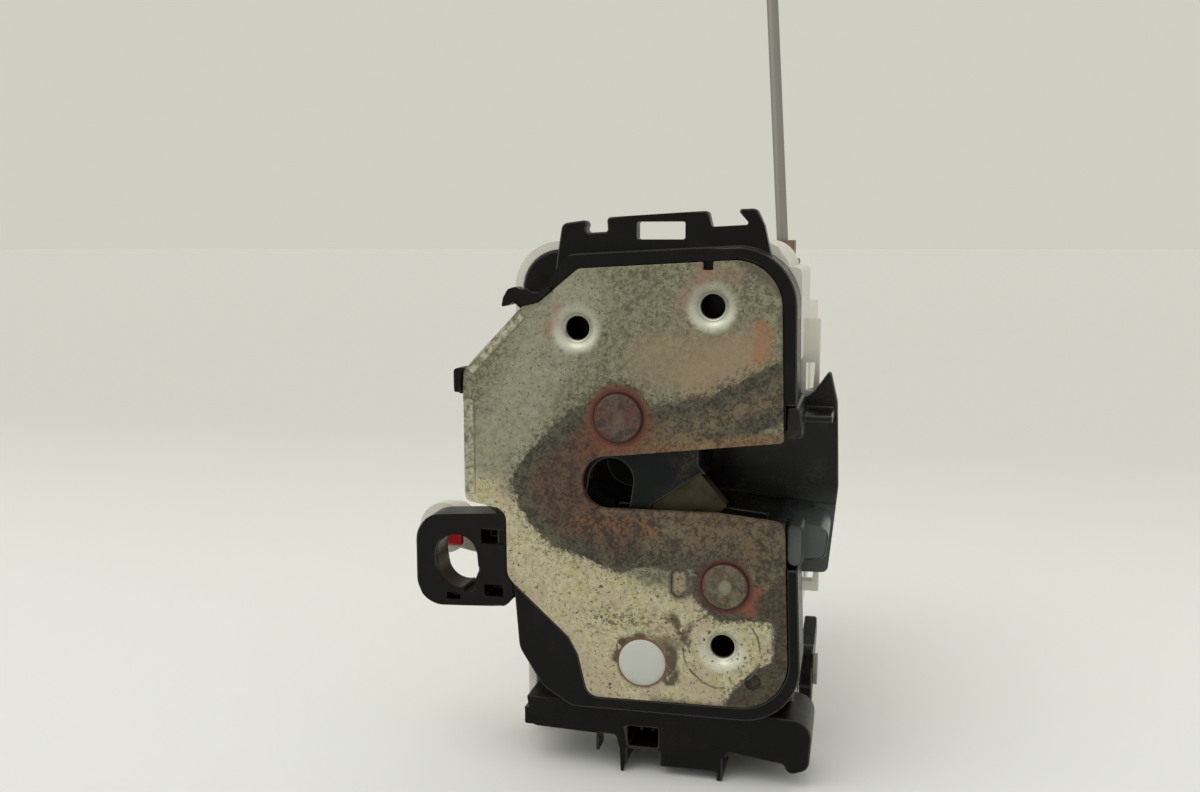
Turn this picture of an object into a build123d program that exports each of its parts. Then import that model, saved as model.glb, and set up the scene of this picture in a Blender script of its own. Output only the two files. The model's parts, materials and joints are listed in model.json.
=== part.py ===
"""Door latch actuator: latch, release levers and electric lock drive, in millimetres.

X runs right, Y runs back into the latch and Z runs up. The origin lies on
the axis of the latched striker, at the outer face of the face plate.
"""

import os
from math import acos, atan2, cos, degrees, hypot, pi, radians, sin, tan

from build123d import *

# Depth levels of the latch, along Y
PLATE_T = 2.0
CASE_FRONT, CASE_FLOOR, CASE_BACK = 0.5, 12.0, 14.0
CORE_Y = (4.0, 8.0)
COVER_Y = (3.0, 9.0)
SPRING_Y = (9.3, 11.7)
BACK_T = 1.6
BACK_Y = CASE_BACK + BACK_T
LEVER_Y = (16.2, 18.2)
GUARD_BACK = 28.0
GUARD_START = 32.4

# Pivots of the latch, as (x, z)
RATCHET = (2.1, 13.8)
PAWL = (24.7, -20.5)
RELEASE = (-22.0, -19.0)
ROD_CLIP = (-41.2, -15.0)
RATCHET_PIN_R, PAWL_PIN_R, RELEASE_PIN_R = 3.0, 2.8, 2.5
RUN = 0.05
FOLLOWER = (1.0, -13.0)
FOLLOWER_R = 1.8

# Fixing holes of the face plate, M6
TAPPED = [(-6.8, 32.1), (21.3, 36.9), (24.2, -33.9)]
TAP_R = 2.5
COLLAR_R, COLLAR_BACK = 4.4, 7.0
COLLAR_GAP = 0.5
SCREW_PASSAGE_R = 4.0

# Bent flanges of the face plate: start (x, z), heading in degrees, length
FLANGES = [((-31.9, -3.6), 90.0, 19.8), ((-30.5, 24.15), 46.3, 15.9)]

# Striker seat in the ratchet
SEAT_R = 4.7
MOUTH_ANGLE = -98.6
HOOK_R = 28.8
SPRING_POST = 160.0
COVER_SKIN = 1.0

# Connector
TERMINAL_X = (5.2, 7.8)

# White housing
WALL = 2.2
SKIRT_FRONT, HOUSING_FRONT = 14.2, 28.4
ARM_X = (8.0, 36.0)
STEP_X, STEP_Z = 34.2, 34.0
ARM_BACK = 105.0
DRIVE_ROOM = 55.0
HOUSING_BACK = ARM_BACK - DRIVE_ROOM
ARM_Z = (-40.0, 44.0)
FLOOR_Z = -65.0
COVER_T = 2.0

# Lock drive, centres as (y, z)
PRESSURE = radians(20)
WHEEL_MODULE, SECTOR_MODULE = 0.8, 1.0
PINION_TEETH, WHEEL_TEETH, SECTOR_TEETH = 10, 36, 44
SHIFT = 0.42
LOCK_PIVOT = (ARM_BACK - 43.0, 19.1)
GEAR_CENTRE = (ARM_BACK - 29.0, -4.0)
MOTOR_ANGLE = -49.4
MOTOR_R = 11.0
MOTOR_X = (13.0, 27.5)
LOCK_REST, LOCK_TURN = 15.0, 30.0
LOCK_ARM = 22.0
WHEEL_X, SECTOR_X = (30.2, 33.4), (25.4, 28.6)

# Lock rod
ROD_R = 1.5
ROD_LEAN = 0.0625
ROD_TOP = 165.0

# Inside release lever, pivot as (y, z)
INSIDE = (36.0, -50.0)


# Drawing helpers
def rounded(points):
    """Return a face from (u, v, corner radius) points."""
    count = len(points)
    corners = []
    for i, (u, v, radius) in enumerate(points):
        corner = Vector(u, v)
        before = (Vector(*points[i - 1][:2]) - corner).normalized()
        after = (Vector(*points[(i + 1) % count][:2]) - corner).normalized()
        half = acos(max(-1.0, min(1.0, before.dot(after)))) / 2
        reach = radius / tan(half)
        middle = corner
        if radius:
            bisector = (before + after).normalized()
            middle = corner + bisector * (radius / sin(half) - radius)
        corners.append((corner + before * reach, middle, corner + after * reach, radius))
    edges = []
    for i, (start, middle, end, radius) in enumerate(corners):
        if radius:
            edges.append(ThreePointArc(start, middle, end))
        following = corners[(i + 1) % count][0]
        if (following - end).length > 1e-6:
            edges.append(Line(end, following))
    return make_face(edges)


def polygon(points):
    """Return a face with sharp corners from (u, v) points."""
    return rounded([(u, v, 0) for u, v in points])


def disc(centre, radius):
    """Return a round face."""
    return Pos(*centre) * Circle(radius)


def capsule(start, end, first, second=None):
    """Return two discs joined by their tangents, roughly."""
    second = first if second is None else second
    angle = atan2(end[1] - start[1], end[0] - start[0])
    across = (-sin(angle), cos(angle))
    points = [
        (start[0] + across[0] * first, start[1] + across[1] * first),
        (end[0] + across[0] * second, end[1] + across[1] * second),
        (end[0] - across[0] * second, end[1] - across[1] * second),
        (start[0] - across[0] * first, start[1] - across[1] * first),
    ]
    return polygon(points) + disc(start, first) + disc(end, second)


def slab(face, y0, y1):
    """Extrude a face drawn in X and Z, from depth y0 to depth y1."""
    return extrude(Plane.XZ.offset(-y1) * face, y1 - y0)


def side(face, x0, x1):
    """Extrude a face drawn in Y and Z, from x0 to x1."""
    return extrude(Plane.YZ.offset(x0) * face, x1 - x0)


def block(x, y, z):
    """Return a box from three (low, high) pairs."""
    centre = [(low + high) / 2 for low, high in (x, y, z)]
    return Pos(*centre) * Box(x[1] - x[0], y[1] - y[0], z[1] - z[0])


def polar(centre, radius, angle):
    """Return a point at a radius and an angle in degrees."""
    turn = radians(angle)
    return (centre[0] + radius * cos(turn), centre[1] + radius * sin(turn))


def band(centre, inner, outer, start, end):
    """Return a ring sector between two angles in degrees."""
    steps = max(2, int(abs(end - start) / 8))
    angles = [start + (end - start) * i / steps for i in range(steps + 1)]
    points = [polar(centre, outer, a) for a in angles]
    points += [polar(centre, inner, a) for a in reversed(angles)]
    return polygon(points)


def turned(shape, centre, angle):
    """Turn a solid about the Y line through (x, z), anticlockwise from the front."""
    axis = Axis((centre[0], 0, centre[1]), (0, -1, 0))
    return shape.rotate(axis, angle)


def pin(centre, stack):
    """Return coaxial discs from (radius, y0, y1) steps."""
    solid = None
    for radius, y0, y1 in stack:
        step = slab(disc(centre, radius), y0, y1)
        solid = step if solid is None else solid + step
    return solid


# Shared outlines
def slot_outline(grow=0.0, reach=60.0):
    """Return the striker slot, open to the right."""
    radius = 5.65 + grow
    upper = [(0, radius), (5.3, 6.2 + grow), (35.5, 9.7 + grow), (reach, 12.5 + grow)]
    lower = [(reach, -8.4 - grow), (34.7, -6.7 - grow), (22.6, -5.5 - grow), (0, -radius)]
    return polygon(upper + lower) + disc((0, 0), radius)


def plate_outline(grow=0.0):
    """Return the outline of the face plate, without its slot."""
    points = [
        (-6.4, 44.4, 2.5), (35.0, 46.7, 9.5), (35.9, 13.5, 0), (36.6, -8.0, 0),
        (38.1, -46.3, 10), (-4.4, -46.8, 3), (-6.6, -37.7, 2), (-8.6, -34.0, 2),
        (-22.3, -21.6, 4), (-22.4, -6.9, 3), (-31.4, -5.2, 1.5), (-31.6, 22.5, 2),
        (-18.3, 36.5, 0), (-14.9, 37.3, 0),
    ]
    face = rounded(points)
    return offset(face, grow) if grow else face


def slot_lips():
    """Return the two cutters that round the slot's corners at the plate's edge."""
    upper = polygon([(35.0, 9.6), (38, 9.9), (38, 10.8), (36.4, 10.8)]) - disc((34.9, 10.9), 1.3)
    lower = polygon([(34.2, -6.6), (38, -6.9), (38, -9.2), (36.6, -9.2)]) - disc((34.3, -9.0), 2.3)
    return upper + lower


def case_outline(shrink=0.0):
    """Return the outline of the black latch case."""
    points = [
        (-9.2, 47.0, 3), (37.9, 49.4, 12), (38.6, 12.0, 0), (39.2, -12.0, 0),
        (40.8, -49.4, 12), (-8.0, -49.6, 4), (-14.6, -45.6, 4), (-19.8, -37.4, 5),
        (-20.8, -25.0, 2), (-24.5, -21.0, 2), (-24.5, -8.0, 0), (-29.5, -4.4, 1),
        (-29.5, 20.8, 1), (-17.4, 33.2, 1), (-12.8, 37.0, 0), (-12.8, 41.5, 2),
    ]
    face = rounded(points)
    return offset(face, -shrink) if shrink else face


# Latch pieces
def face_plate():
    """Return the steel face plate with its bent flanges and tapped collars."""
    body = slab(plate_outline(), 0, PLATE_T)
    for start, angle, length in FLANGES:
        place = Pos(start[0], 0, start[1]) * Rot(0, -angle, 0)
        body -= place * Pos(0, -1, -2.0) * Box(length, 4, 6, align=(Align.MIN,) * 3)
        body += place * flange(length)
    for centre in TAPPED:
        body += slab(disc(centre, COLLAR_R), PLATE_T, COLLAR_BACK)
    body -= slab(slot_outline() + slot_lips(), -1, PLATE_T + 1)
    body -= block((19.4, 21.4), (-1, 3), (44.2, 48))
    for centre in TAPPED:
        body -= slab(disc(centre, TAP_R), -1, COLLAR_BACK + 1)
        body -= funnel(centre, 4.4, TAP_R, 1.3)
    for centre, radius in [(RATCHET, RATCHET_PIN_R), (PAWL, PAWL_PIN_R), ((7.4, -38.3), 3.2)]:
        body -= slab(disc(centre, radius), -1, 4)
    oval = capsule((15.0, -22.0), (15.0, -19.0), 1.6)
    body -= slab(oval, -0.1, 0.5)
    return body - slab(disc((30.7, -40.7), 1.7), -0.1, 1.0)


def flange(length):
    """Return a bent flange along X, its outer face up and its bend rounded."""
    body = Box(length, 12, 2.0, align=(Align.MIN, Align.MIN, Align.MAX))
    bend = body.edges().filter_by(Axis.X).group_by(Axis.Y)[0].sort_by(Axis.Z)[-1]
    return fillet(bend, 1.3)


def funnel(centre, wide, narrow, depth):
    """Return a countersink cutter, wide at the outer face."""
    cone = Cone(narrow, wide, depth, align=(Align.CENTER, Align.CENTER, Align.MIN))
    return Pos(centre[0], depth, centre[1]) * Rot(90, 0, 0) * cone


def mechanism_cavity():
    """Return the hollow in which ratchet and pawl swing."""
    points = [
        (-18.5, 22.0, 5), (-18.5, -16.0, 5), (-11.0, -31.0, 5), (14.0, -30.0, 4),
        (18.0, -27.4, 1), (33.0, -27.4, 3), (33.5, -10.5, 2), (31.9, -9.5, 0), (31.9, 24.0, 6),
        (27.4, 31.4, 1), (3.0, 31.4, 3), (-5.6, 27.0, 1),
    ]
    return rounded(points)


def latch_case():
    """Return the moulded case frame with the top bracket and the flange hooks."""
    body = slab(case_outline(), CASE_FRONT, CASE_FLOOR)
    body -= slab(mechanism_cavity(), PLATE_T, CASE_FLOOR)
    body += top_bracket() + flange_hooks()
    body -= slab(plate_outline(0.15), -1, PLATE_T)
    for centre in TAPPED:
        body -= slab(disc(centre, COLLAR_R + COLLAR_GAP), PLATE_T, COLLAR_BACK + 0.5)
        body -= slab(disc(centre, SCREW_PASSAGE_R), PLATE_T, CASE_FLOOR)
    return clear_slot(body) - slab(disc((7.4, -38.3), 3.2), 0, 6)


def case_floor():
    """Return the floor of the case, with the ratchet spring's post."""
    body = clear_slot(slab(case_outline(), CASE_FLOOR, CASE_BACK))
    body += slab(disc(polar(RATCHET, 15.0, SPRING_POST), 1.2), SPRING_Y[0] + 0.1, CASE_FLOOR)
    body += rear_flange()
    body -= slab(follower_slot(), CASE_FLOOR - 1, CASE_BACK + 1)
    for centre, radius in [(RATCHET, RATCHET_PIN_R), (PAWL, PAWL_PIN_R)]:
        body -= slab(disc(centre, radius), CASE_FLOOR - 1, CASE_BACK + 1)
    return body


def rear_flange():
    """Return the flange that fits inside the top of the housing's rim."""
    reach = polygon([(-40, 27), (-10, 27), (-10, 44.4), (50, 44.4), (50, 60), (-40, 60)])
    face = (housing_outline(WALL + 0.2) & reach) - back_outline(0.3) - disc((-17.0, 32.0), 3.7)
    return slab(face, CASE_BACK - 0.6, CASE_BACK + 2.4)


def clear_slot(body):
    """Return a piece of the case with the striker slot cut."""
    body -= slab(slot_outline(2.0), -1, CASE_BACK + 1)
    return body - block((36.3, 50), (-1, CASE_BACK + 1), (-16.5, 17.2))


def follower_slot():
    """Return the arc slot for the pawl's follower pin."""
    reach = hypot(FOLLOWER[0] - PAWL[0], FOLLOWER[1] - PAWL[1])
    start = degrees(atan2(FOLLOWER[1] - PAWL[1], FOLLOWER[0] - PAWL[0]))
    width = FOLLOWER_R + 0.6
    face = band(PAWL, reach - width, reach + width, start, start + 24)
    return face + disc(FOLLOWER, width) + disc(polar(PAWL, reach, start + 24), width)


def top_bracket():
    """Return the slotted bracket above the face plate."""
    points = [
        (-12.3, 40.5, 0), (-11.4, 47.9, 0), (-10.5, 53.6, 1.5), (-4.6, 54.4, 0.8),
        (-5.9, 51.6, 0.8), (-0.8, 51.9, 0.5), (-1.0, 54.8, 0.8), (19.9, 56.0, 0.8),
        (20.6, 52.8, 0.5), (28.4, 53.2, 0.4), (25.6, 56.3, 0.5), (29.6, 56.4, 1.2),
        (31.2, 53.0, 0), (32.4, 47.9, 0), (34.3, 43.3, 0),
    ]
    face = rounded(points) - Pos(10.3, 52.1) * RectangleRounded(10, 3.6, 0.5)
    return slab(face, 3, 6.5)


def flange_hooks():
    """Return the two hooks that clip over the plate's flanges."""
    upper = rounded([
        (-22.6, 36.4, 0.3), (-22.2, 38.4, 0.8), (-21.2, 40.1, 0.7), (-19.7, 40.6, 0.7), (-18.2, 40.0, 1),
        (-16.9, 39.2, 0.8), (-15.2, 39.1, 0.8), (-12.0, 40.8, 0.4), (-12.0, 37.6, 0.4), (-14.6, 37.3, 0.6),
        (-16.4, 35.8, 0.2), (-17.0, 35.8, 0.2), (-18.3, 37.2, 0.7), (-19.9, 37.5, 0.7), (-21.0, 36.8, 0.4),
    ])
    lower = rounded([
        (-33.4, 18.2, 0.4), (-33.4, 23.2, 0.8), (-31.2, 23.6, 0.6), (-30.9, 21.9, 0.3),
        (-31.8, 21.2, 0.3), (-31.9, 18.2, 0.3),
    ])
    hooks = slab(upper, -0.8, 3.2) + slab(lower, -0.6, 3.0)
    hooks += slab(polygon([(-17, 34), (-22, 38.2), (-20, 39.8), (-12, 41.4), (-11, 36)]), 2.2, 6)
    return hooks + slab(polygon([(-33.2, 17.6), (-33.2, 22.2), (-28, 21.4), (-28, 17.6)]), 2.2, 6)


def clip_block():
    """Return the C shaped clip block at the left."""
    outer = rounded([
        (-43.0, -9.0, 6), (-43.0, -29.1, 6), (-21.0, -28.2, 3), (-21.6, -7.6, 2),
    ])
    body = slab(outer, 0, 12) + block((-26, -20), (3, 12), (-27, -9))
    body -= slab(capsule((-33.6, -17.6), (-33.4, -20.0), 4.7), -1, 13)
    body -= block((-32.1, -29.6), (-1, 13), (-25.4, -21.0))
    body -= block((-36.0, -32.9), (-1, 3), (-27.4, -25.9))
    body -= block((-28.0, -22.8), (-1, 6), (-14.6, -11.4))
    body -= block((-27.4, -23.2), (-1, 6), (-26.2, -23.6))
    body -= slab(case_outline(), CASE_FRONT, CASE_FLOOR)
    return body - slab(plate_outline(0.15), -1, CASE_FRONT)


def button_plug():
    """Return the white plug in the face plate."""
    dome = Pos(7.4, 0, -38.3) * Rot(90, 0, 0) * Cone(5.0, 3.6, 0.8, align=(Align.CENTER,) * 2 + (Align.MIN,))
    return dome + slab(disc((7.4, -38.3), 3.15), 0, 5.9)


def ratchet_pin():
    """Return the riveted ratchet pivot."""
    stack = [(5.1, -0.9, 0), (RATCHET_PIN_R, 0, BACK_Y + 1), (4.3, BACK_Y, BACK_Y + 1)]
    return pin(RATCHET, stack) - funnel_at(RATCHET, -0.9)


def pawl_pin():
    """Return the riveted pawl pivot."""
    stack = [(4.8, -0.9, 0), (PAWL_PIN_R, 0, BACK_Y + 1), (4.0, BACK_Y, BACK_Y + 1)]
    return pin(PAWL, stack) - funnel_at(PAWL, -0.9)


def funnel_at(centre, front):
    """Return the centre mark cut in a rivet head."""
    cone = Cone(0.2, 0.9, 0.5, align=(Align.CENTER, Align.CENTER, Align.MIN))
    return Pos(centre[0], front + 0.5, centre[1]) * Rot(90, 0, 0) * cone


def ratchet_face():
    """Return the ratchet's steel outline in the latched pose, seat not cut."""
    points = [
        (-5.2, -7.6, 0), (-6.0, -9.6, 0.4), (-9.2, -8.4, 1.5),
        (-12.2, 0.0, 3), (-11.4, 14.0, 6), (-6.2, 22.6, 7), (5.0, 24.4, 6),
        (13.6, 19.8, 5), (17.4, 12.6, 4), (17.5, 3.6, 1.5), (24.6, -4.9, 0.8), (23.0, -6.6, 1),
        (10.0, -8.3, 2), (3.0, -7.9, 0.5), (3.0, 0, 0), (-5.2, 0, 0),
    ]
    return rounded(points) & disc(RATCHET, HOOK_R)


def mouth(half, reach=30.0):
    """Return the striker mouth of the ratchet."""
    return capsule((0, 0), polar((0, 0), reach, MOUTH_ANGLE), half)


def bare_steel():
    """Return the parts of the ratchet that its plastic leaves bare."""
    hook = polygon([(8.4, -5.1), (18.9, 2.1), (30, 2.1), (30, -20), (8.4, -20)])
    return hook + polygon([(-20, -4.6), (1.0, -4.6), (1.0, -20), (-20, -20)])


def ratchet_core():
    """Return the steel ratchet."""
    face = ratchet_face() - mouth(SEAT_R)
    return slab(face, *CORE_Y) - slab(disc(RATCHET, RATCHET_PIN_R + RUN), *CORE_Y)


def ratchet_cover():
    """Return the quiet plastic moulded over the ratchet."""
    steel = ratchet_face() - mouth(SEAT_R)
    outer = offset(ratchet_face(), COVER_SKIN) - mouth(SEAT_R) - bare_steel()
    body = slab(outer, *COVER_Y) - slab(steel, *CORE_Y)
    body += slab(disc(polar(RATCHET, 12.4, 68.4), 1.2), COVER_Y[1] - 0.5, 11.2)
    return body - slab(disc(RATCHET, 4.2), *COVER_Y)


def pawl():
    """Return the steel pawl."""
    arm = rounded([
        (-2.0, -9.2, 0.4), (4.0, -10.1, 3), (15.0, -13.4, 4), (24.7, -14.5, 0),
        (30.6, -19.0, 0), (24.7, -26.5, 0), (12.0, -20.5, 6), (1.0, -16.6, 3), (-3.3, -12.6, 1),
    ])
    face = arm + disc(PAWL, 6.0) + capsule(PAWL, (30.6, -16.4), 3.0, 1.6)
    body = slab(face, *CORE_Y) + slab(disc(polar(PAWL, 9.5, 149.4), 1.2), CORE_Y[1] - 0.5, 11.0)
    body -= slab(disc(PAWL, PAWL_PIN_R + RUN), *CORE_Y)
    return body - slab(disc(FOLLOWER, FOLLOWER_R), *CORE_Y)


def pawl_follower_pin():
    """Return the pin that the release lever pushes."""
    return pin(FOLLOWER, [(FOLLOWER_R, CORE_Y[0], LEVER_Y[1] + 0.6)])


def torsion_spring(centre, radius, start, end, reaches):
    """Return a coil with two straight legs."""
    wire = 0.4
    y0, y1 = SPRING_Y[0] + wire, SPRING_Y[1] - wire
    coil = Helix((y1 - y0) / 1.75, y1 - y0, radius)
    plane = Plane(origin=coil @ 0, z_dir=coil % 0)
    body = sweep(plane * Circle(wire), path=coil, is_frenet=True)
    body = Pos(centre[0], y1, centre[1]) * Rot(90, 0, 0) * body
    body = turned(body, centre, start)
    for depth, angle, reach in [(y1, start, reaches[0]), (y0, end, reaches[1])]:
        root = polar(centre, radius, angle)
        leg = Cylinder(wire, reach, align=(Align.CENTER, Align.CENTER, Align.MIN))
        out = Pos(root[0], depth, root[1]) * Rot(0, 90 - angle, 0) * leg
        body += out
    return body


def ratchet_spring():
    """Return the spring that throws the ratchet open."""
    return torsion_spring(RATCHET, 5.2, SPRING_POST + 6.8, 60, (12, 9))


def pawl_spring():
    """Return the spring that presses the pawl home."""
    return torsion_spring(PAWL, 4.8, 250, 160, (1.6, 6))


def slot_bumper():
    """Return the rubber stop at the closed end of the striker slot."""
    return slab(band((0, 0), 5.7, 7.6, 95, 265), 9.6, CASE_BACK)


def back_outline(grow=0.0):
    """Return the outline of the plate behind the case."""
    face = rounded([
        (-9.0, 42.0, 4), (30.0, 44.0, 8), (34.5, 12.0, 3), (35.0, -12.0, 3), (33.0, -43.0, 8),
        (-9.0, -44.0, 5), (-16.0, -30.0, 4), (-27.0, -27.0, 6), (-27.4, -11.0, 5),
        (-22.0, -2.0, 4), (-22.0, 26.0, 5),
    ])
    return offset(face, grow) if grow else face


def back_plate():
    """Return the steel plate behind the case."""
    outline = back_outline() - slot_outline(2.0) - follower_slot()
    for centre in TAPPED:
        outline -= disc(centre, 3.6)
    for centre, radius in [(RATCHET, RATCHET_PIN_R), (PAWL, PAWL_PIN_R), (RELEASE, RELEASE_PIN_R)]:
        outline -= disc(centre, radius)
    return slab(outline, CASE_BACK, BACK_Y)


def striker_guard():
    """Return the plastic channel that guides the striker."""
    left = polygon([(-12, -20), (-12, 20), (GUARD_START, 20), (GUARD_START, -20)])
    shell = slot_outline(2.0) & polygon([(-12, -20), (-12, 20), (36.6, 20), (36.6, -20)])
    body = slab(shell & left, 9.6, GUARD_BACK) + slab(shell - left, PLATE_T, GUARD_BACK)
    body += slab(guard_rim(), 24.5, GUARD_BACK)
    body += slab(rounded([(36.4, 16.9, 1), (39.2, 16.7, 1.4), (39.6, 9.9, 1.2), (36.4, 9.3, 0)]), 2, 26)
    body += slab(rounded([(36.4, -7.9, 0), (45.4, -9.0, 2.5), (44.6, -15.9, 2), (36.4, -16.2, 1)]), 8, 26)
    body += slab(capsule((38.6, -8.8), (38.6, -14.4), 1.7), 2, 10)
    body += block((38.4, 45.2), (12, 26), (12.3, 13.8)) + block((41.0, 41.6), (24.2, 26), (-9, 10.4))
    body -= slab(slot_outline(0.4), 0, 25.8)
    return body - block((-9, 0), (9, CASE_BACK + 0.1), (-9, 9))


def guard_rim():
    """Return the flared rear wall of the guard."""
    return rounded([
        (-8.0, 8.4, 3), (34.2, 13.4, 0), (40.2, 16.4, 9), (44.2, 22.2, 0.5), (45.9, 15.0, 6),
        (46.5, -4.0, 6), (44.6, -23.2, 1.5), (35.6, -23.4, 1), (35.2, -12.4, 1), (-8.0, -8.4, 3),
    ])


def connector_shroud():
    """Return the black connector block under the case."""
    outline = rounded([
        (-19.2, -49.6, 0), (-18.1, -56.2, 1.5), (0.9, -56.8, 0), (1.6, -59.6, 0), (25.0, -59.6, 0),
        (25.4, -58.4, 0), (37.0, -59.8, 0), (38.2, -62.0, 1.5), (42.4, -60.6, 2.5), (43.0, -49.9, 4),
        (36.0, -49.5, 0),
    ])
    upper = polygon([(-25, -49.65), (-25, -70), (50, -70), (50, -49.45)])
    body = slab(outline & upper, 4, 20)
    body += slab(polygon([(-12, -44.8), (-12, -53), (38, -53), (38, -44.8)]), CASE_BACK, 20)
    body += slab(polygon([(1.6, -56), (3.4, -56), (3.4, -61.5), (2.6, -64.8), (2.0, -64.8)]), 4, 16)
    body += block((10.6, 23.0), (4, 16), (-63.0, -58)) + block((22.9, 24.2), (4, 16), (FLOOR_Z, -58))
    body += block((-3.6, -2.8), (4, 9), (-60.7, -56)) + block((-20.0, -17.8), (5, 14), (-56.4, -52.6))
    body -= block((3.6, 10.2), (3, 14), (-58.8, -54.4))
    for x in TERMINAL_X:
        body -= terminal(x)
    return body


def terminal(x):
    """Return one blade of the connector."""
    return block((x, x + 0.7), (9.5, 17), (-57.6, -55.4))


def connector_terminals():
    """Return the two blades in the connector."""
    return Compound(children=[terminal(x).solid() for x in TERMINAL_X])


# Release levers
def release_lever():
    """Return the steel lever that lifts the pawl from outside."""
    arm = rounded([
        (-22.0, -13.0, 0), (-8.0, -9.4, 4), (3.6, -8.9, 0.9), (3.6, -10.8, 0.9),
        (-4.0, -11.6, 4), (-18.0, -24.2, 0),
    ])
    face = arm + disc(RELEASE, 6.2) + capsule(RELEASE, ROD_CLIP, 4.6, 5.0)
    body = slab(face, *LEVER_Y) - slab(disc(RELEASE, RELEASE_PIN_R + RUN), 16, 19)
    return body - slab(disc(ROD_CLIP, 3.2), 16, 19)


def release_lever_pin():
    """Return the shoulder rivet of the release lever."""
    return pin(RELEASE, [(RELEASE_PIN_R, CASE_BACK, 19.4), (3.8, BACK_Y, 16.15), (4.4, 18.25, 19.4)])


def rod_clip_white():
    """Return the nylon bush that takes the outside handle rod."""
    stack = [(5.8, 12.8, 16.2), (3.2, 16.2, 18.2), (4.4, 18.2, 22.5)]
    body = pin(ROD_CLIP, stack) + block((-41.0, -31.4), (13.2, 16.0), (-17.0, -13.8))
    body -= slab(disc(ROD_CLIP, 1.6), 12, 23)
    return body - block((-43.0, -39.4), (12, 14.2), (-18.9, -16.9))


def rod_clip_red():
    """Return the red latch of the rod clip."""
    return block((-43.0, -39.4), (12.4, 14.2), (-18.9, -16.9))


def inside_lever():
    """Return the plastic lever on the right flank."""
    hub = disc(INSIDE, 5.6)
    arm = capsule(INSIDE, (52.0, -46.0), 4.2, 3.4) + capsule(INSIDE, (31.6, -57.5), 3.6, 2.4)
    body = side(hub + arm, 38.6, 41.6)
    body -= side(disc(INSIDE, 2.0 + RUN), 38, 43)
    return body - side(disc((52.0, -46.0), 1.6), 38, 43)


def inside_lever_pin():
    """Return the pivot of the inside lever."""
    body = side(disc(INSIDE, 2.0), 34.0, 42.6)
    return body + side(disc(INSIDE, 3.6), 41.7, 42.6)


# Housing
def housing_outline(inset=0.0):
    """Return the white housing seen from the front."""
    face = rounded([
        (-24.4, 50.2, 10.5), (35.6, 50.5, 7), (35.6, 44.6, 0), (38.2, 44.6, 1.5),
        (38.2, FLOOR_Z, 3), (-23.6, FLOOR_Z, 3),
    ])
    return offset(face, -inset) if inset else face


def arm_outline(inset=0.0, front=HOUSING_BACK):
    """Return the rear arm seen from the right."""
    low, high = ARM_Z[0] + inset, ARM_Z[1] - inset
    back = ARM_BACK - inset
    return rounded([
        (front, low, 0), (front, high, 0), (back - 16, high, 5), (back, high - 14, 6), (back, low + 12, 8),
        (back - 12, low, 6),
    ])


def rear_housing():
    """Return the white housing behind the latch."""
    body = slab(housing_outline(), SKIRT_FRONT, HOUSING_BACK)
    body -= slab(housing_outline(WALL), SKIRT_FRONT - 1, HOUSING_FRONT)
    body -= slab(back_outline(0.3), SKIRT_FRONT - 1, BACK_Y + 0.2)
    body -= rear_pockets()
    body -= block((30, 45), (0, HOUSING_FRONT), (-25, 25))
    body -= block((-45, -20), (0, HOUSING_FRONT), (-32, 6))
    body -= block((-25, 45), (0, 20.2), (-70, -39))
    for centre in [(-17.0, 32.0), (28.0, 33.0), (29.0, -37.0), (-9.0, -38.0)]:
        body += slab(disc(centre, 3.4), BACK_Y, HOUSING_FRONT)
    return body + snap_loops() - side(disc(INSIDE, 2.0), 34.0, 39.0)


def actuator_box():
    """Return the white box that carries the lock drive."""
    body = side(arm_outline(0, HOUSING_BACK), *ARM_X) - top_step(0)
    body -= side(arm_outline(WALL, HOUSING_BACK + WALL), ARM_X[0] + WALL, ARM_X[1] + 1) - top_step(WALL)
    return body + drive_seats() - rod_line(2.2, 38.0, 46.0)


def top_step(grow):
    """Return the room that the narrower top of the arm leaves free."""
    return block((STEP_X - grow, ARM_X[1] + 5), (HOUSING_BACK - 1, ARM_BACK + 1), (STEP_Z - grow, ARM_Z[1] + 1))


def rear_pockets():
    """Return the ribbed pockets at the back of the front box."""
    cutters = None
    rows = [(-62.6, -40.0), (-37.8, -12.0), (-9.8, 16.0), (18.2, 47.6)]
    columns = [(-21.2, -9.2), (-7.0, 5.6)]
    for row in rows:
        for column in columns:
            pocket = block(column, (HOUSING_FRONT + 2.4, HOUSING_BACK + 1), row)
            cutters = pocket if cutters is None else cutters + pocket
    lower = block((8.0, 33.6), (HOUSING_FRONT + 2.4, HOUSING_BACK + 1), (-62.6, -42.4))
    inner = block((ARM_X[0] + WALL, 35.8), (HOUSING_FRONT + 2.4, HOUSING_BACK + 1), (-37.8, 41.8))
    return cutters + lower + inner


def snap_loops():
    """Return the two snap loops on the right flank."""
    upper = block((38.0, 41.7), (28.6, 31.6), (15.0, 33.0)) - block((38.6, 40.7), (28, 32), (17.0, 23.3))
    lower = block((38.0, 42.6), (28.6, 31.6), (-29.0, -20.0)) - block((38.6, 41.4), (28, 32), (-26.6, -22.4))
    return upper + lower


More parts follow.
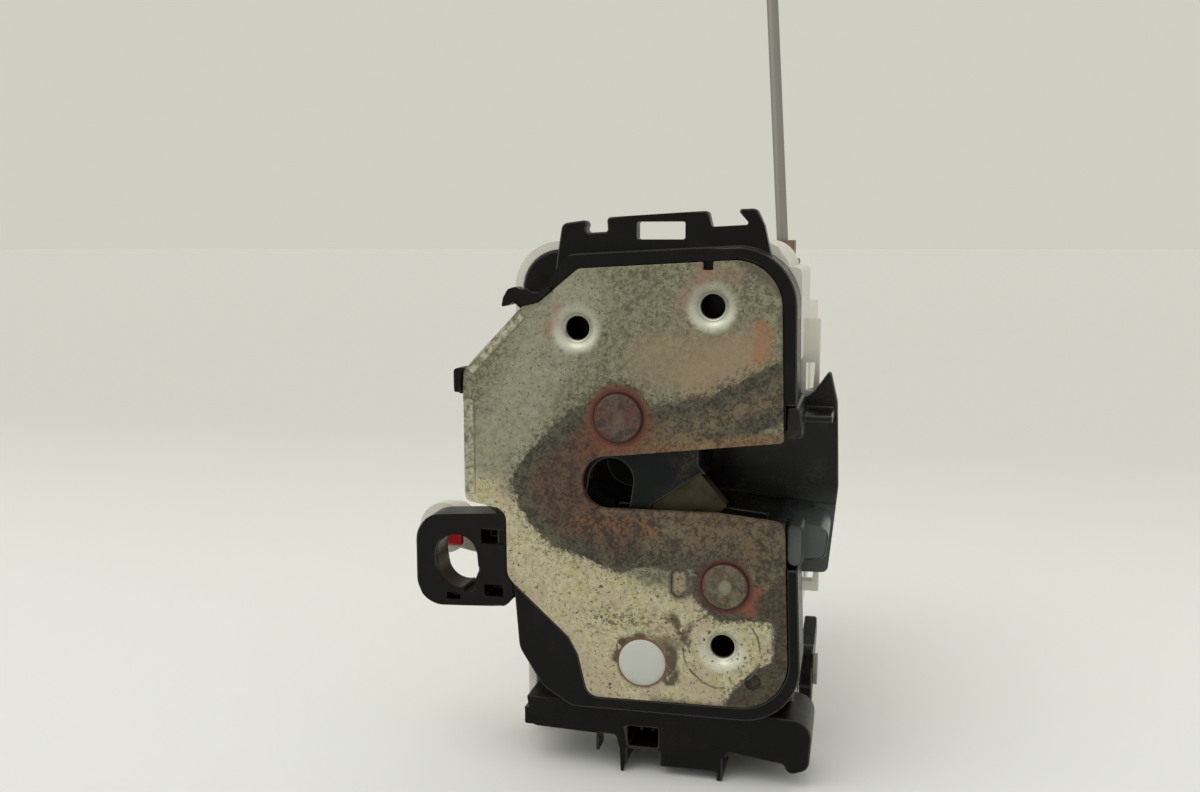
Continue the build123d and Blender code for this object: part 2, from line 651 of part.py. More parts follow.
def drive_seats():
    """Return the motor cradle, the axle bosses and the switch seat."""
    motor = motor_centre()
    inner = ARM_X[0] + WALL
    seats = side(disc(motor, 5.0), inner, MOTOR_X[0] - 1.2)
    seats += side(disc(GEAR_CENTRE, 4.0), inner, 24.0)
    seats += side(disc(LOCK_PIVOT, 5.0), inner, 24.0)
    seats -= side(disc(GEAR_CENTRE, 1.5), inner, 24.5)
    seats -= side(disc(LOCK_PIVOT, 2.0), inner, 24.5)
    for angle in (45, 135, 225, 315):
        post = polar(motor, MOTOR_R + 1.5, angle)
        seats += side(disc(post, 1.5), inner, 20.0)
    for y, z in cover_screw_places():
        seats += side(disc((y, z), 3.2), inner, ARM_X[1]) - side(disc((y, z), 1.2), ARM_X[1] - 7.5, ARM_X[1] + 1)
    shelf = LOCK_PIVOT[0] - 6, LOCK_PIVOT[0] + 8
    return seats + block((inner, 20), shelf, (33.0, 35.0))


def cover_screw_places():
    """Return the (y, z) places of the side cover screws."""
    front, back = HOUSING_BACK + 3.4, ARM_BACK - 5.2
    return [(front, 28.0), (front, -34.0), (ARM_BACK - 13, 27.0), (back, 2.0)]


def rod_line(radius, low, high):
    """Return a leaning cylinder on the rod's axis between two heights."""
    place = rod_x(low), LOCK_PIVOT[0] + LOCK_ARM * cos(radians(LOCK_REST)), low
    length = (high - low) * hypot(1, ROD_LEAN)
    cylinder = Cylinder(radius, length, align=(Align.CENTER, Align.CENTER, Align.MIN))
    return Pos(*place) * Rot(0, -degrees(atan2(ROD_LEAN, 1)), 0) * cylinder


def rod_x(height):
    """Return the rod's place across, at a height."""
    return 29.0 - (height - 51.0) * ROD_LEAN


def side_cover():
    """Return the cover over the lock drive."""
    x0 = ARM_X[1]
    body = side(arm_outline(), x0, x0 + COVER_T) - top_step(0)
    body += side(arm_outline(6.0, HOUSING_BACK + 4.0), x0 + COVER_T, x0 + COVER_T + 0.6) - top_step(11)
    for centre, radius in [(GEAR_CENTRE, 1.5), (LOCK_PIVOT, 2.0)]:
        body += side(disc(centre, radius + 2.0), 35.6, x0)
        body -= side(disc(centre, radius), 35.4, x0 + 1.0)
    for place in cover_screw_places():
        body -= side(disc(place, 1.4), x0 - 1, x0 + 4) + side(disc(place, 2.9), x0 + 0.8, x0 + 4)
    return body


def cover_screws():
    """Return the four screws of the side cover."""
    x0 = ARM_X[1]
    screws = []
    for place in cover_screw_places():
        screw = side(disc(place, 1.15), x0 - 7, x0 + 1.0) + side(disc(place, 2.6), x0 + 0.8, x0 + 2.0)
        screw -= Pos(x0 + 2.0, *place) * (Box(1.4, 3.2, 0.7) + Box(1.4, 0.7, 3.2))
        screws.append(screw.solid())
    return Compound(children=screws)


def rod_guide():
    """Return the brown guide block at the rod's exit."""
    y = LOCK_PIVOT[0] + LOCK_ARM * cos(radians(LOCK_REST))
    body = block((24.4, 32.4), (y - 4, y + 4), (ARM_Z[1], 50.4))
    body += block((23.4, 33.6), (y - 5, y + 5), (ARM_Z[1], 45.6))
    return body - rod_line(ROD_R + RUN, 40, 54)


# Lock drive
def motor_centre():
    """Return the motor's (y, z) centre."""
    span = WHEEL_MODULE * (PINION_TEETH + WHEEL_TEETH) / 2
    return polar(GEAR_CENTRE, span, MOTOR_ANGLE)


def gear_face(teeth, module, shift, tooth_at, count=None, backlash=0.12):
    """Return a spur gear outline with a tooth centred on an angle in degrees."""
    pitch = module * teeth / 2
    base, tip = pitch * cos(PRESSURE), pitch + module * (1 + shift) - 0.06
    root = pitch - module * (1.25 - shift)
    thick = (module * (pi / 2 + 2 * shift * tan(PRESSURE)) - backlash) / (2 * pitch)
    start = max(base, root)
    points = []
    for number in range(count or teeth):
        centre = radians(tooth_at) + 2 * pi * number / teeth
        flank = []
        for step in range(4):
            radius = start + (tip - start) * step / 3
            flank.append((radius, thick + involute(PRESSURE) - involute(acos(base / radius))))
        half_root = flank[0][1]
        points.append(polar((0, 0), root, degrees(centre - half_root)))
        points += [polar((0, 0), r, degrees(centre - h)) for r, h in flank]
        points += [polar((0, 0), r, degrees(centre + h)) for r, h in reversed(flank)]
        points.append(polar((0, 0), root, degrees(centre + half_root)))
    if count:
        points.append((0, 0))
    return polygon(points)


def involute(angle):
    """Return the involute of an angle in radians."""
    return tan(angle) - angle


def heading(start, end):
    """Return the angle from one point to another, in degrees."""
    return degrees(atan2(end[1] - start[1], end[0] - start[0]))


def lock_lever():
    """Return the lock lever with its toothed sector."""
    pitch_angle = 360 / SECTOR_TEETH
    first = heading(LOCK_PIVOT, GEAR_CENTRE) - pitch_angle
    sector = Pos(*LOCK_PIVOT) * gear_face(SECTOR_TEETH, SECTOR_MODULE, -SHIFT, first, 7)
    tip = polar(LOCK_PIVOT, LOCK_ARM, LOCK_REST)
    face = sector + disc(LOCK_PIVOT, 6.5) + capsule(LOCK_PIVOT, tip, 5.5, 4.2)
    slot_centre = LOCK_ARM - 0.38
    hole = capsule(polar(LOCK_PIVOT, slot_centre - 0.5, LOCK_REST), polar(LOCK_PIVOT, slot_centre + 0.5, LOCK_REST), ROD_R + 0.12)
    window = band(LOCK_PIVOT, 9.5, 17.0, first + 6, first + 42)
    body = side(face - hole - window, *SECTOR_X)
    body += side(disc(LOCK_PIVOT, 4.2), SECTOR_X[0] - 1.2, 35.4)
    return body - side(disc(LOCK_PIVOT, 2.0 + RUN), 20, 40)


def lock_lever_axle():
    """Return the steel axle of the lock lever."""
    return side(disc(LOCK_PIVOT, 2.0), 14.0, ARM_X[1] + 0.8)


def reduction_gear():
    """Return the stepped gear between motor and lock lever."""
    wheel_angle = heading(GEAR_CENTRE, motor_centre()) + 180 / WHEEL_TEETH
    small_angle = heading(GEAR_CENTRE, LOCK_PIVOT) + 180 / PINION_TEETH
    wheel = Pos(*GEAR_CENTRE) * gear_face(WHEEL_TEETH, WHEEL_MODULE, -SHIFT, wheel_angle)
    for number in range(6):
        wheel -= disc(polar(GEAR_CENTRE, 9.2, 60 * number), 1.8)
    small = Pos(*GEAR_CENTRE) * gear_face(PINION_TEETH, SECTOR_MODULE, SHIFT, small_angle)
    body = side(wheel, *WHEEL_X) + side(small, SECTOR_X[0] - 0.4, WHEEL_X[0])
    body += side(disc(GEAR_CENTRE, 3.0), 24.2, 35.4)
    return body - side(disc(GEAR_CENTRE, 1.5 + RUN), 20, 40)


def gear_axle():
    """Return the steel axle of the stepped gear."""
    return side(disc(GEAR_CENTRE, 1.5), 14.0, ARM_X[1] + 0.8)


def motor_pinion():
    """Return the brass pinion on the motor shaft."""
    centre = motor_centre()
    toward = heading(centre, GEAR_CENTRE)
    teeth = Pos(*centre) * gear_face(PINION_TEETH, WHEEL_MODULE, SHIFT, toward)
    return side(teeth - disc(centre, 1.0), WHEEL_X[0] - 0.4, WHEEL_X[1] + 0.6)


def motor_shaft():
    """Return the motor shaft."""
    return side(disc(motor_centre(), 1.0), MOTOR_X[0] + 1.6, 35.0)


def motor_can():
    """Return the steel motor can, open at its back end."""
    centre = motor_centre()
    round_face = disc(centre, MOTOR_R) & (Pos(*centre) * Rectangle(30, 2 * MOTOR_R - 3.4))
    body = side(round_face, *MOTOR_X) + side(disc(centre, 3.4), MOTOR_X[1], MOTOR_X[1] + 1.2)
    body -= side(offset(round_face, -1.0), MOTOR_X[0] - 1, MOTOR_X[1] - 1.2)
    return body - side(disc(centre, 1.0 + RUN), 10, 40)


def motor_end_cap():
    """Return the plastic end cap of the motor with its two tags."""
    centre = motor_centre()
    round_face = disc(centre, MOTOR_R) & (Pos(*centre) * Rectangle(30, 2 * MOTOR_R - 3.4))
    body = side(offset(round_face, -1.0), MOTOR_X[0], MOTOR_X[0] + 2.6)
    body += side(disc(centre, 3.2), MOTOR_X[0] - 1.2, MOTOR_X[0])
    return body - side(disc(centre, 1.0 + RUN), MOTOR_X[0] + 1.5, 40)


def lock_switch():
    """Return the micro switch above the lock lever."""
    y = LOCK_PIVOT[0]
    body = block((12.0, 20.0), (y - 5.2, y + 7.6), (35.0, 41.8))
    return body + block((20.0, 20.8), (y - 2, y + 1), (37.0, 39.4))


def lock_rod():
    """Return the lock rod with its bent foot."""
    foot_z = LOCK_PIVOT[1] + LOCK_ARM * sin(radians(LOCK_REST))
    y = LOCK_PIVOT[0] + LOCK_ARM * cos(radians(LOCK_REST))
    x = rod_x(foot_z)
    body = rod_line(ROD_R, foot_z, ROD_TOP)
    body += Pos(x, y, foot_z) * Sphere(ROD_R)
    foot = Cylinder(ROD_R, x - 23.6, align=(Align.CENTER, Align.CENTER, Align.MIN))
    return body + Pos(x, y, foot_z) * Rot(0, -90, 0) * foot


def rod_tip():
    """Return the threaded sleeve at the rod's top."""
    sleeve = rod_line(2.3, ROD_TOP - 14, ROD_TOP + 1.5)
    for step in range(5):
        height = ROD_TOP - 12.4 + 2.6 * step
        sleeve -= rod_line(2.6, height, height + 0.8) - rod_line(1.95, height - 1, height + 2)
    return sleeve - rod_line(ROD_R, ROD_TOP - 15, ROD_TOP)


NODES = [
    face_plate, latch_case, case_floor, clip_block, striker_guard, back_plate, ratchet_pin,
    pawl_pin, button_plug, slot_bumper, connector_shroud, connector_terminals, ratchet_core,
    ratchet_cover, ratchet_spring, pawl, pawl_follower_pin, pawl_spring, release_lever,
    release_lever_pin, rod_clip_white, rod_clip_red, inside_lever, inside_lever_pin,
    rear_housing, actuator_box, side_cover, cover_screws, rod_guide, lock_lever,
    lock_lever_axle, reduction_gear, gear_axle, motor_pinion, motor_shaft, motor_can,
    motor_end_cap, lock_switch, lock_rod, rod_tip,
]


def main():
    """Write one STEP file for every piece."""
    os.makedirs("parts", exist_ok=True)
    for make in NODES:
        export_step(make(), f"parts/{make.__name__}.step")


if __name__ == "__main__":
    main()
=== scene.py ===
"""Dress the door latch actuator: finishes, turned and moulded detail, studio and camera."""

import json
import logging
import math
from abc import ABC, abstractmethod
from collections.abc import Iterator, Sequence
from contextlib import contextmanager
from dataclasses import dataclass
from enum import Enum
from functools import reduce

import bpy
import numpy as np
from mathutils import Matrix, Vector


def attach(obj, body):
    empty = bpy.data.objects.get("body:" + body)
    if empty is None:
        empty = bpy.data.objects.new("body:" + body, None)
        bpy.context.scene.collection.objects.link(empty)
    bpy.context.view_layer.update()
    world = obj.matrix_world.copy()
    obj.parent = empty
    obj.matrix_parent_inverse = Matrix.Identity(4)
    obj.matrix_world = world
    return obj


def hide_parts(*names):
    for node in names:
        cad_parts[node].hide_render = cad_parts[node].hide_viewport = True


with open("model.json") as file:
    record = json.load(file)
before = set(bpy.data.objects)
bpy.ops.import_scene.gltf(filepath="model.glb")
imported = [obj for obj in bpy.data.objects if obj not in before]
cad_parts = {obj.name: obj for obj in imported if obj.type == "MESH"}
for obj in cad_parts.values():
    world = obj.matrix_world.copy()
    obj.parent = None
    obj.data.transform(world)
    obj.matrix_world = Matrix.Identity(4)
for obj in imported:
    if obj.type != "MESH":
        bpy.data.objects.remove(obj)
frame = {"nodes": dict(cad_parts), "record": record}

log = logging.getLogger("latch")
MM = 0.001
# Below this, the product of two signed areas shows two points on different sides of a segment's line
APART = -1e-18
Colour = tuple[float, float, float]
Point = tuple[float, float, float]
Flat = tuple[float, float]
Capsule = tuple[Flat, Flat, float]
Socket = bpy.types.NodeSocket


def tone(red: int, green: int, blue: int) -> Colour:
    """Turn a display colour of 0 to 255 into a linear one.

    Args:
        red: Red as displayed.
        green: Green as displayed.
        blue: Blue as displayed.

    Returns:
        The linear colour.
    """
    def linear(value: float) -> float:
        """Undo the display curve of one channel."""
        return value / 12.92 if value <= 0.04045 else ((value + 0.055) / 1.055) ** 2.4

    return linear(red / 255), linear(green / 255), linear(blue / 255)


def shaded(colour: Colour, share: float) -> Colour:
    """Return a colour with each channel multiplied by a share."""
    return tuple(part * share for part in colour)


def mm(*values: float) -> tuple[float, ...]:
    """Turn millimetres into metres."""
    return tuple(value * MM for value in values)


class Body(Enum):
    """The moving bodies of the latch."""

    ROOT = "root"
    RATCHET = "ratchet"
    PAWL = "pawl"
    RELEASE = "release"
    INSIDE = "inside"
    LOCK = "lock"
    ROD = "rod"
    GEAR = "gear"
    MOTOR = "motor"


class Painter:
    """Writes one node material, step by step."""

    def __init__(self, name: str) -> None:
        """Start a material with a bare Principled shader.

        Args:
            name: The material's name.
        """
        self.material = bpy.data.materials.new(name)
        self.material.use_nodes = True
        self.tree = self.material.node_tree
        self.tree.nodes.clear()
        self.shader = self.tree.nodes.new("ShaderNodeBsdfPrincipled")
        output = self.tree.nodes.new("ShaderNodeOutputMaterial")
        self.tree.links.new(self.shader.outputs[0], output.inputs[0])
        self.place: Socket = self.tree.nodes.new("ShaderNodeTexCoord").outputs["Object"]
        self.parts: tuple[Socket, Socket, Socket] | None = None
        self.colour: object = None

    def node(self, kind: str, **inputs: object) -> bpy.types.Node:
        """Add a node and fill its inputs by name or by number.

        Args:
            kind: The node's type name.
            inputs: Values or sockets; n0, n1 and so on address inputs by number.

        Returns:
            The node.
        """
        made = self.tree.nodes.new(kind)
        for key, value in inputs.items():
            numbered = key[0] == "n" and key[1:].isdigit()
            target = made.inputs[int(key[1:])] if numbered else made.inputs[key]
            self.feed(target, value)
        return made

    def feed(self, target: Socket, value: object) -> None:
        """Link a socket to an input, or set its value."""
        if isinstance(value, bpy.types.NodeSocket):
            self.tree.links.new(value, target)
        elif isinstance(value, tuple) and target.type == "RGBA":
            target.default_value = (*value[:3], 1.0)
        else:
            target.default_value = value

    def sum(
        self, kind: str, first: object, second: object = 0.0, third: object = 0.0, clamp: bool = False,
    ) -> Socket:
        """Return the result of one Math node.

        Args:
            kind: The operation, such as MULTIPLY.
            first: The first value or socket.
            second: The second value or socket.
            third: The third value or socket.
            clamp: Whether the result is held between 0 and 1.

        Returns:
            The result's socket.
        """
        made = self.node("ShaderNodeMath", n0=first, n1=second, n2=third)
        made.operation, made.use_clamp = kind, clamp
        return made.outputs[0]

    def fold(self, kind: str, values: Sequence[object], third: float = 0.0) -> Socket:
        """Run one operation over a row of values, from the first to the last."""
        return reduce(lambda first, second: self.sum(kind, first, second, third), values)

    def times(self, *factors: object) -> Socket:
        """Return the product of some factors."""
        return self.fold("MULTIPLY", factors)

    def noise(
        self, size: float, detail: float = 4.0, rough: float = 0.55, warp: float = 0.0, shift: float = 0.0,
    ) -> Socket:
        """Return a noise of 0 to 1.

        Args:
            size: The size of a blotch in millimetres.
            detail: The number of finer layers.
            rough: The strength of the finer layers.
            warp: The distortion.
            shift: How far the pattern is moved, to make it another one.

        Returns:
            The factor's socket.
        """
        moved = self.node("ShaderNodeVectorMath", n0=self.place, n1=(shift, shift * 0.7, -shift)).outputs[0]
        scale = 1.0 / (size * MM)
        return self.node(
            "ShaderNodeTexNoise", Vector=moved, Scale=scale, Detail=detail, Roughness=rough, Distortion=warp,
        ).outputs[0]

    def fade(self, value: Socket, low: float, high: float) -> Socket:
        """Map a value smoothly to 0 at low and 1 at high, held beyond.

        Args:
            value: The socket to map.
            low: The value that becomes 0.
            high: The value that becomes 1.

        Returns:
            The factor's socket.
        """
        flip = low > high
        made = self.node("ShaderNodeMapRange", n0=value)
        made.interpolation_type = "SMOOTHSTEP"
        made.inputs[1].default_value, made.inputs[2].default_value = (high, low) if flip else (low, high)
        made.inputs[3].default_value, made.inputs[4].default_value = (1.0, 0.0) if flip else (0.0, 1.0)
        return made.outputs[0]

    def mix(self, factor: object, first: object, second: object) -> Socket:
        """Return a blend of two colours."""
        made = self.tree.nodes.new("ShaderNodeMix")
        made.data_type = "RGBA"
        for place, value in ((0, factor), (6, first), (7, second)):
            self.feed(made.inputs[place], value)
        return made.outputs[2]

    def apart(self) -> tuple[Socket, Socket, Socket]:
        """Return X, Y and Z of the place on the object."""
        if self.parts is None:
            made = self.node("ShaderNodeSeparateXYZ", n0=self.place)
            self.parts = made.outputs[0], made.outputs[1], made.outputs[2]
        return self.parts

    def reach(self, centre: Flat) -> Socket:
        """Return the distance in X and Z, in metres, from an (x, z) in millimetres."""
        flat = self.node("ShaderNodeVectorMath", n0=self.place, n1=(1.0, 0.0, 1.0))
        flat.operation = "MULTIPLY"
        made = self.node("ShaderNodeVectorMath", n0=flat.outputs[0], n1=mm(centre[0], 0.0, centre[1]))
        made.operation = "DISTANCE"
        return made.outputs["Value"]

    def along(self, start: Flat, end: Flat) -> Socket:
        """Return the distance in X and Z from a segment.

        Args:
            start: The segment's first (x, z) in millimetres.
            end: The segment's second (x, z) in millimetres.

        Returns:
            The distance's socket, in metres.
        """
        across, _, up = self.apart()
        run, rise = (end[0] - start[0]) * MM, (end[1] - start[1]) * MM
        length = run * run + rise * rise
        dx = self.sum("SUBTRACT", across, start[0] * MM)
        dz = self.sum("SUBTRACT", up, start[1] * MM)
        share = self.sum("ADD", self.times(dx, run / length), self.times(dz, rise / length), clamp=True)
        ox = self.sum("SUBTRACT", dx, self.times(share, run))
        oz = self.sum("SUBTRACT", dz, self.times(share, rise))
        return self.sum("SQRT", self.sum("ADD", self.times(ox, ox), self.times(oz, oz)))

    def union(self, capsules: Sequence[Capsule], blend: float = 2.0) -> Socket:
        """Return the signed distance from a group of capsules.

        Args:
            capsules: The (start, end, radius) of each, in millimetres.
            blend: How softly neighbours flow together, in millimetres.

        Returns:
            The distance's socket in metres, negative inside.
        """
        edges = []
        for start, end, radius in capsules:
            away = self.reach(start) if start == end else self.along(start, end)
            edges.append(self.sum("SUBTRACT", away, radius * MM))
        return self.fold("SMOOTH_MIN", edges, blend * MM)

    def torn(self, distance: Socket, size: float, amount: float, shift: float = 0.0) -> Socket:
        """Return a distance whose outline is torn by noise.

        Args:
            distance: The distance's socket, in metres.
            size: The size of the tears in millimetres.
            amount: Their depth in millimetres.
            shift: How far the noise is moved.

        Returns:
            The distance's socket.
        """
        wave = self.sum("SUBTRACT", self.noise(size, 7.0, 0.66, 0.4, shift), 0.5)
        return self.sum("MULTIPLY_ADD", wave, 2.0 * amount * MM, distance)

    def cloud(self, low: float, high: float, *grain: float) -> Socket:
        """Fade a noise, whose size and other inputs follow, between two values."""
        return self.fade(self.noise(*grain), low, high)

    def ramp(self, length: Socket, low: float, high: float) -> Socket:
        """Map a length to 0 at low and 1 at high, both in millimetres."""
        return self.fade(length, low * MM, high * MM)

    def within(self, distance: Socket, edge: float, soft: float) -> Socket:
        """Return 1 where a distance lies below an edge, both in millimetres."""
        return self.ramp(distance, edge + soft, edge - soft)

    def streak(self, start: Flat, end: Flat, wide: float, soft: float, tears: Sequence[float] = ()) -> Socket:
        """Return 1 near a segment and 0 away from it.

        Args:
            start: The segment's first (x, z) in millimetres.
            end: The segment's second (x, z) in millimetres.
            wide: How far the streak reaches, in millimetres.
            soft: Half the breadth of its soft edge, in millimetres.
            tears: The size, depth and shift of the tears in its edge, if any.

        Returns:
            The factor's socket.
        """
        away = self.along(start, end)
        return self.within(self.torn(away, *tears) if tears else away, wide, soft)

    def speckle(self, grit: Socket, dark: Colour, light: Colour) -> Socket:
        """Return two shades broken up by a noise."""
        return self.mix(self.fade(grit, 0.42, 0.58), dark, light)

    def over(self, colour: object, shade: object, *factors: object) -> Socket:
        """Lay a shade over a colour by the product of some factors."""
        return self.mix(self.times(*factors), colour, shade)

    def lay(self, shade: object, *factors: object) -> None:
        """Lay a shade over the colour so far by the product of some factors."""
        self.colour = self.over(self.colour, shade, *factors)

    def bump(self, height: Socket, strength: float, depth: float = 0.1) -> None:
        """Drive the shader's normal by a height.

        Args:
            height: The height's socket, 0 to 1.
            strength: The strength of the effect.
            depth: The height of 1 in millimetres.
        """
        made = self.node("ShaderNodeBump", Height=height, Strength=strength, Distance=depth * MM)
        self.tree.links.new(made.outputs[0], self.shader.inputs["Normal"])

    def finish(self, **inputs: object) -> bpy.types.Material:
        """Fill the shader's inputs and return the material."""
        for key, value in inputs.items():
            self.feed(self.shader.inputs[key.replace("_", " ")], value)
        return self.material


@dataclass(frozen=True)
class Finish(ABC):
    """A surface finish, made into a material once."""

    name: str

    @abstractmethod
    def paint(self, pen: Painter) -> bpy.types.Material:
        """Write the finish's nodes."""

    def material(self) -> bpy.types.Material:
        """Return the finish's material, made on first use."""
        return bpy.data.materials.get(self.name) or self.paint(Painter(self.name))


@dataclass(frozen=True)
class Moulding(Finish):
    """Injection moulded plastic with a fine grain, dust and scuffs, and on the guard a painted sheen."""

    base: Colour = tone(38, 38, 42)
    dust: Colour = tone(96, 88, 78)
    dusting: float = 0.35
    gloss: float = 0.42
    grain: float = 0.25
    shine: float = 0.5
    tinge: tuple[Flat, float, float, Colour] | None = None

    def paint(self, pen: Painter) -> bpy.types.Material:
        """Write a mottled base, dust in patches and a fine grain."""
        patch = pen.cloud(0.48, 0.74, 9.0, 6.0, 0.6, 0.4)
        fine = pen.noise(0.35, 3.0, 0.6)
        shade = pen.mix(pen.noise(24.0, 2.0), self.base, shaded(self.base, 1.25))
        pen.colour = pen.over(shade, self.dust, patch, self.dusting, pen.fade(fine, 0.3, 0.7))
        # A tinted patch near a point, where given; on the guard it is a painted sheen on the lower flare and
        # posts, mixed with scuffs and dust.
        if self.tinge is not None:
            centre, radius, soft, hue = self.tinge
            _, depth, _ = pen.apart()
            near = pen.within(pen.torn(pen.reach(centre), 2.0, 0.4), radius, soft)
            pen.lay(hue, near, pen.ramp(depth, 0.5, 1.6), 0.85)
        rough = pen.sum("MULTIPLY_ADD", pen.noise(3.0, 5.0), 0.22, self.gloss - 0.08)
        rough = pen.sum("MULTIPLY_ADD", patch, 0.12 * self.dusting, rough)
        pen.bump(fine, self.grain, 0.05)
        return pen.finish(Base_Color=pen.colour, Roughness=rough, Specular_IOR_Level=self.shine)


@dataclass(frozen=True)
class DrawnSteel(Finish):
    """Bare or oiled steel with fine marks and some dirt."""

    base: Colour = tone(150, 146, 138)
    dirt: Colour = tone(58, 46, 38)
    dirtiness: float = 0.5
    rough: float = 0.34

    def paint(self, pen: Painter) -> bpy.types.Material:
        """Write brushed metal with dirt in blotches."""
        blotch = pen.fade(pen.noise(4.0, 7.0, 0.65, 0.3), 0.62 - 0.3 * self.dirtiness, 0.78)
        fine = pen.noise(0.25, 4.0, 0.7)
        colour = pen.mix(blotch, pen.mix(fine, self.base, shaded(self.base, 0.72)), self.dirt)
        pen.bump(fine, 0.3, 0.03)
        return pen.finish(
            Base_Color=colour,
            Metallic=pen.sum("MULTIPLY_ADD", blotch, -0.6, 1.0),
            Roughness=pen.sum("MULTIPLY_ADD", blotch, 0.4, self.rough),
        )


@dataclass(frozen=True)
class RustedRivet(Finish):
    """A dark steel rivet head, brown at its rim."""

    centre: Flat = (0.0, 0.0)
    radius: float = 5.0
    light: Colour = tone(88, 76, 66)
    dark: Colour = tone(52, 44, 37)
    stain: Colour = tone(92, 54, 42)
    # The painted highlight at the dished middle of the head.
    middle: Colour = tone(104, 82, 66)
    border: Colour = tone(84, 36, 28)

    def paint(self, pen: Painter) -> bpy.types.Material:
        """Write grey steel with stains, a painted highlight at its dished middle and red at its very rim."""
        away = pen.reach(self.centre)
        rag = pen.torn(away, 1.4, 0.4)
        fine = pen.noise(0.4, 5.0, 0.7)
        steel = pen.mix(pen.cloud(0.4, 0.6, 1.6, 6.0, 0.7), self.light, self.dark)
        blotch = pen.cloud(0.48, 0.60, 2.4, 5.0, 0.6, 0.6)
        border = pen.ramp(rag, self.radius - 0.5, self.radius - 0.1)
        pen.colour = pen.over(steel, self.stain, blotch, 0.8)
        # Painted highlight at the dished middle.
        pen.lay(self.middle, pen.within(rag, 1.3, 0.5), 0.6)
        pen.lay(self.border, border, 0.9)
        pen.bump(fine, 0.5, 0.08)
        rough = pen.sum("MULTIPLY_ADD", fine, 0.25, 0.36)
        return pen.finish(Base_Color=pen.colour, Metallic=0.35, Roughness=rough)


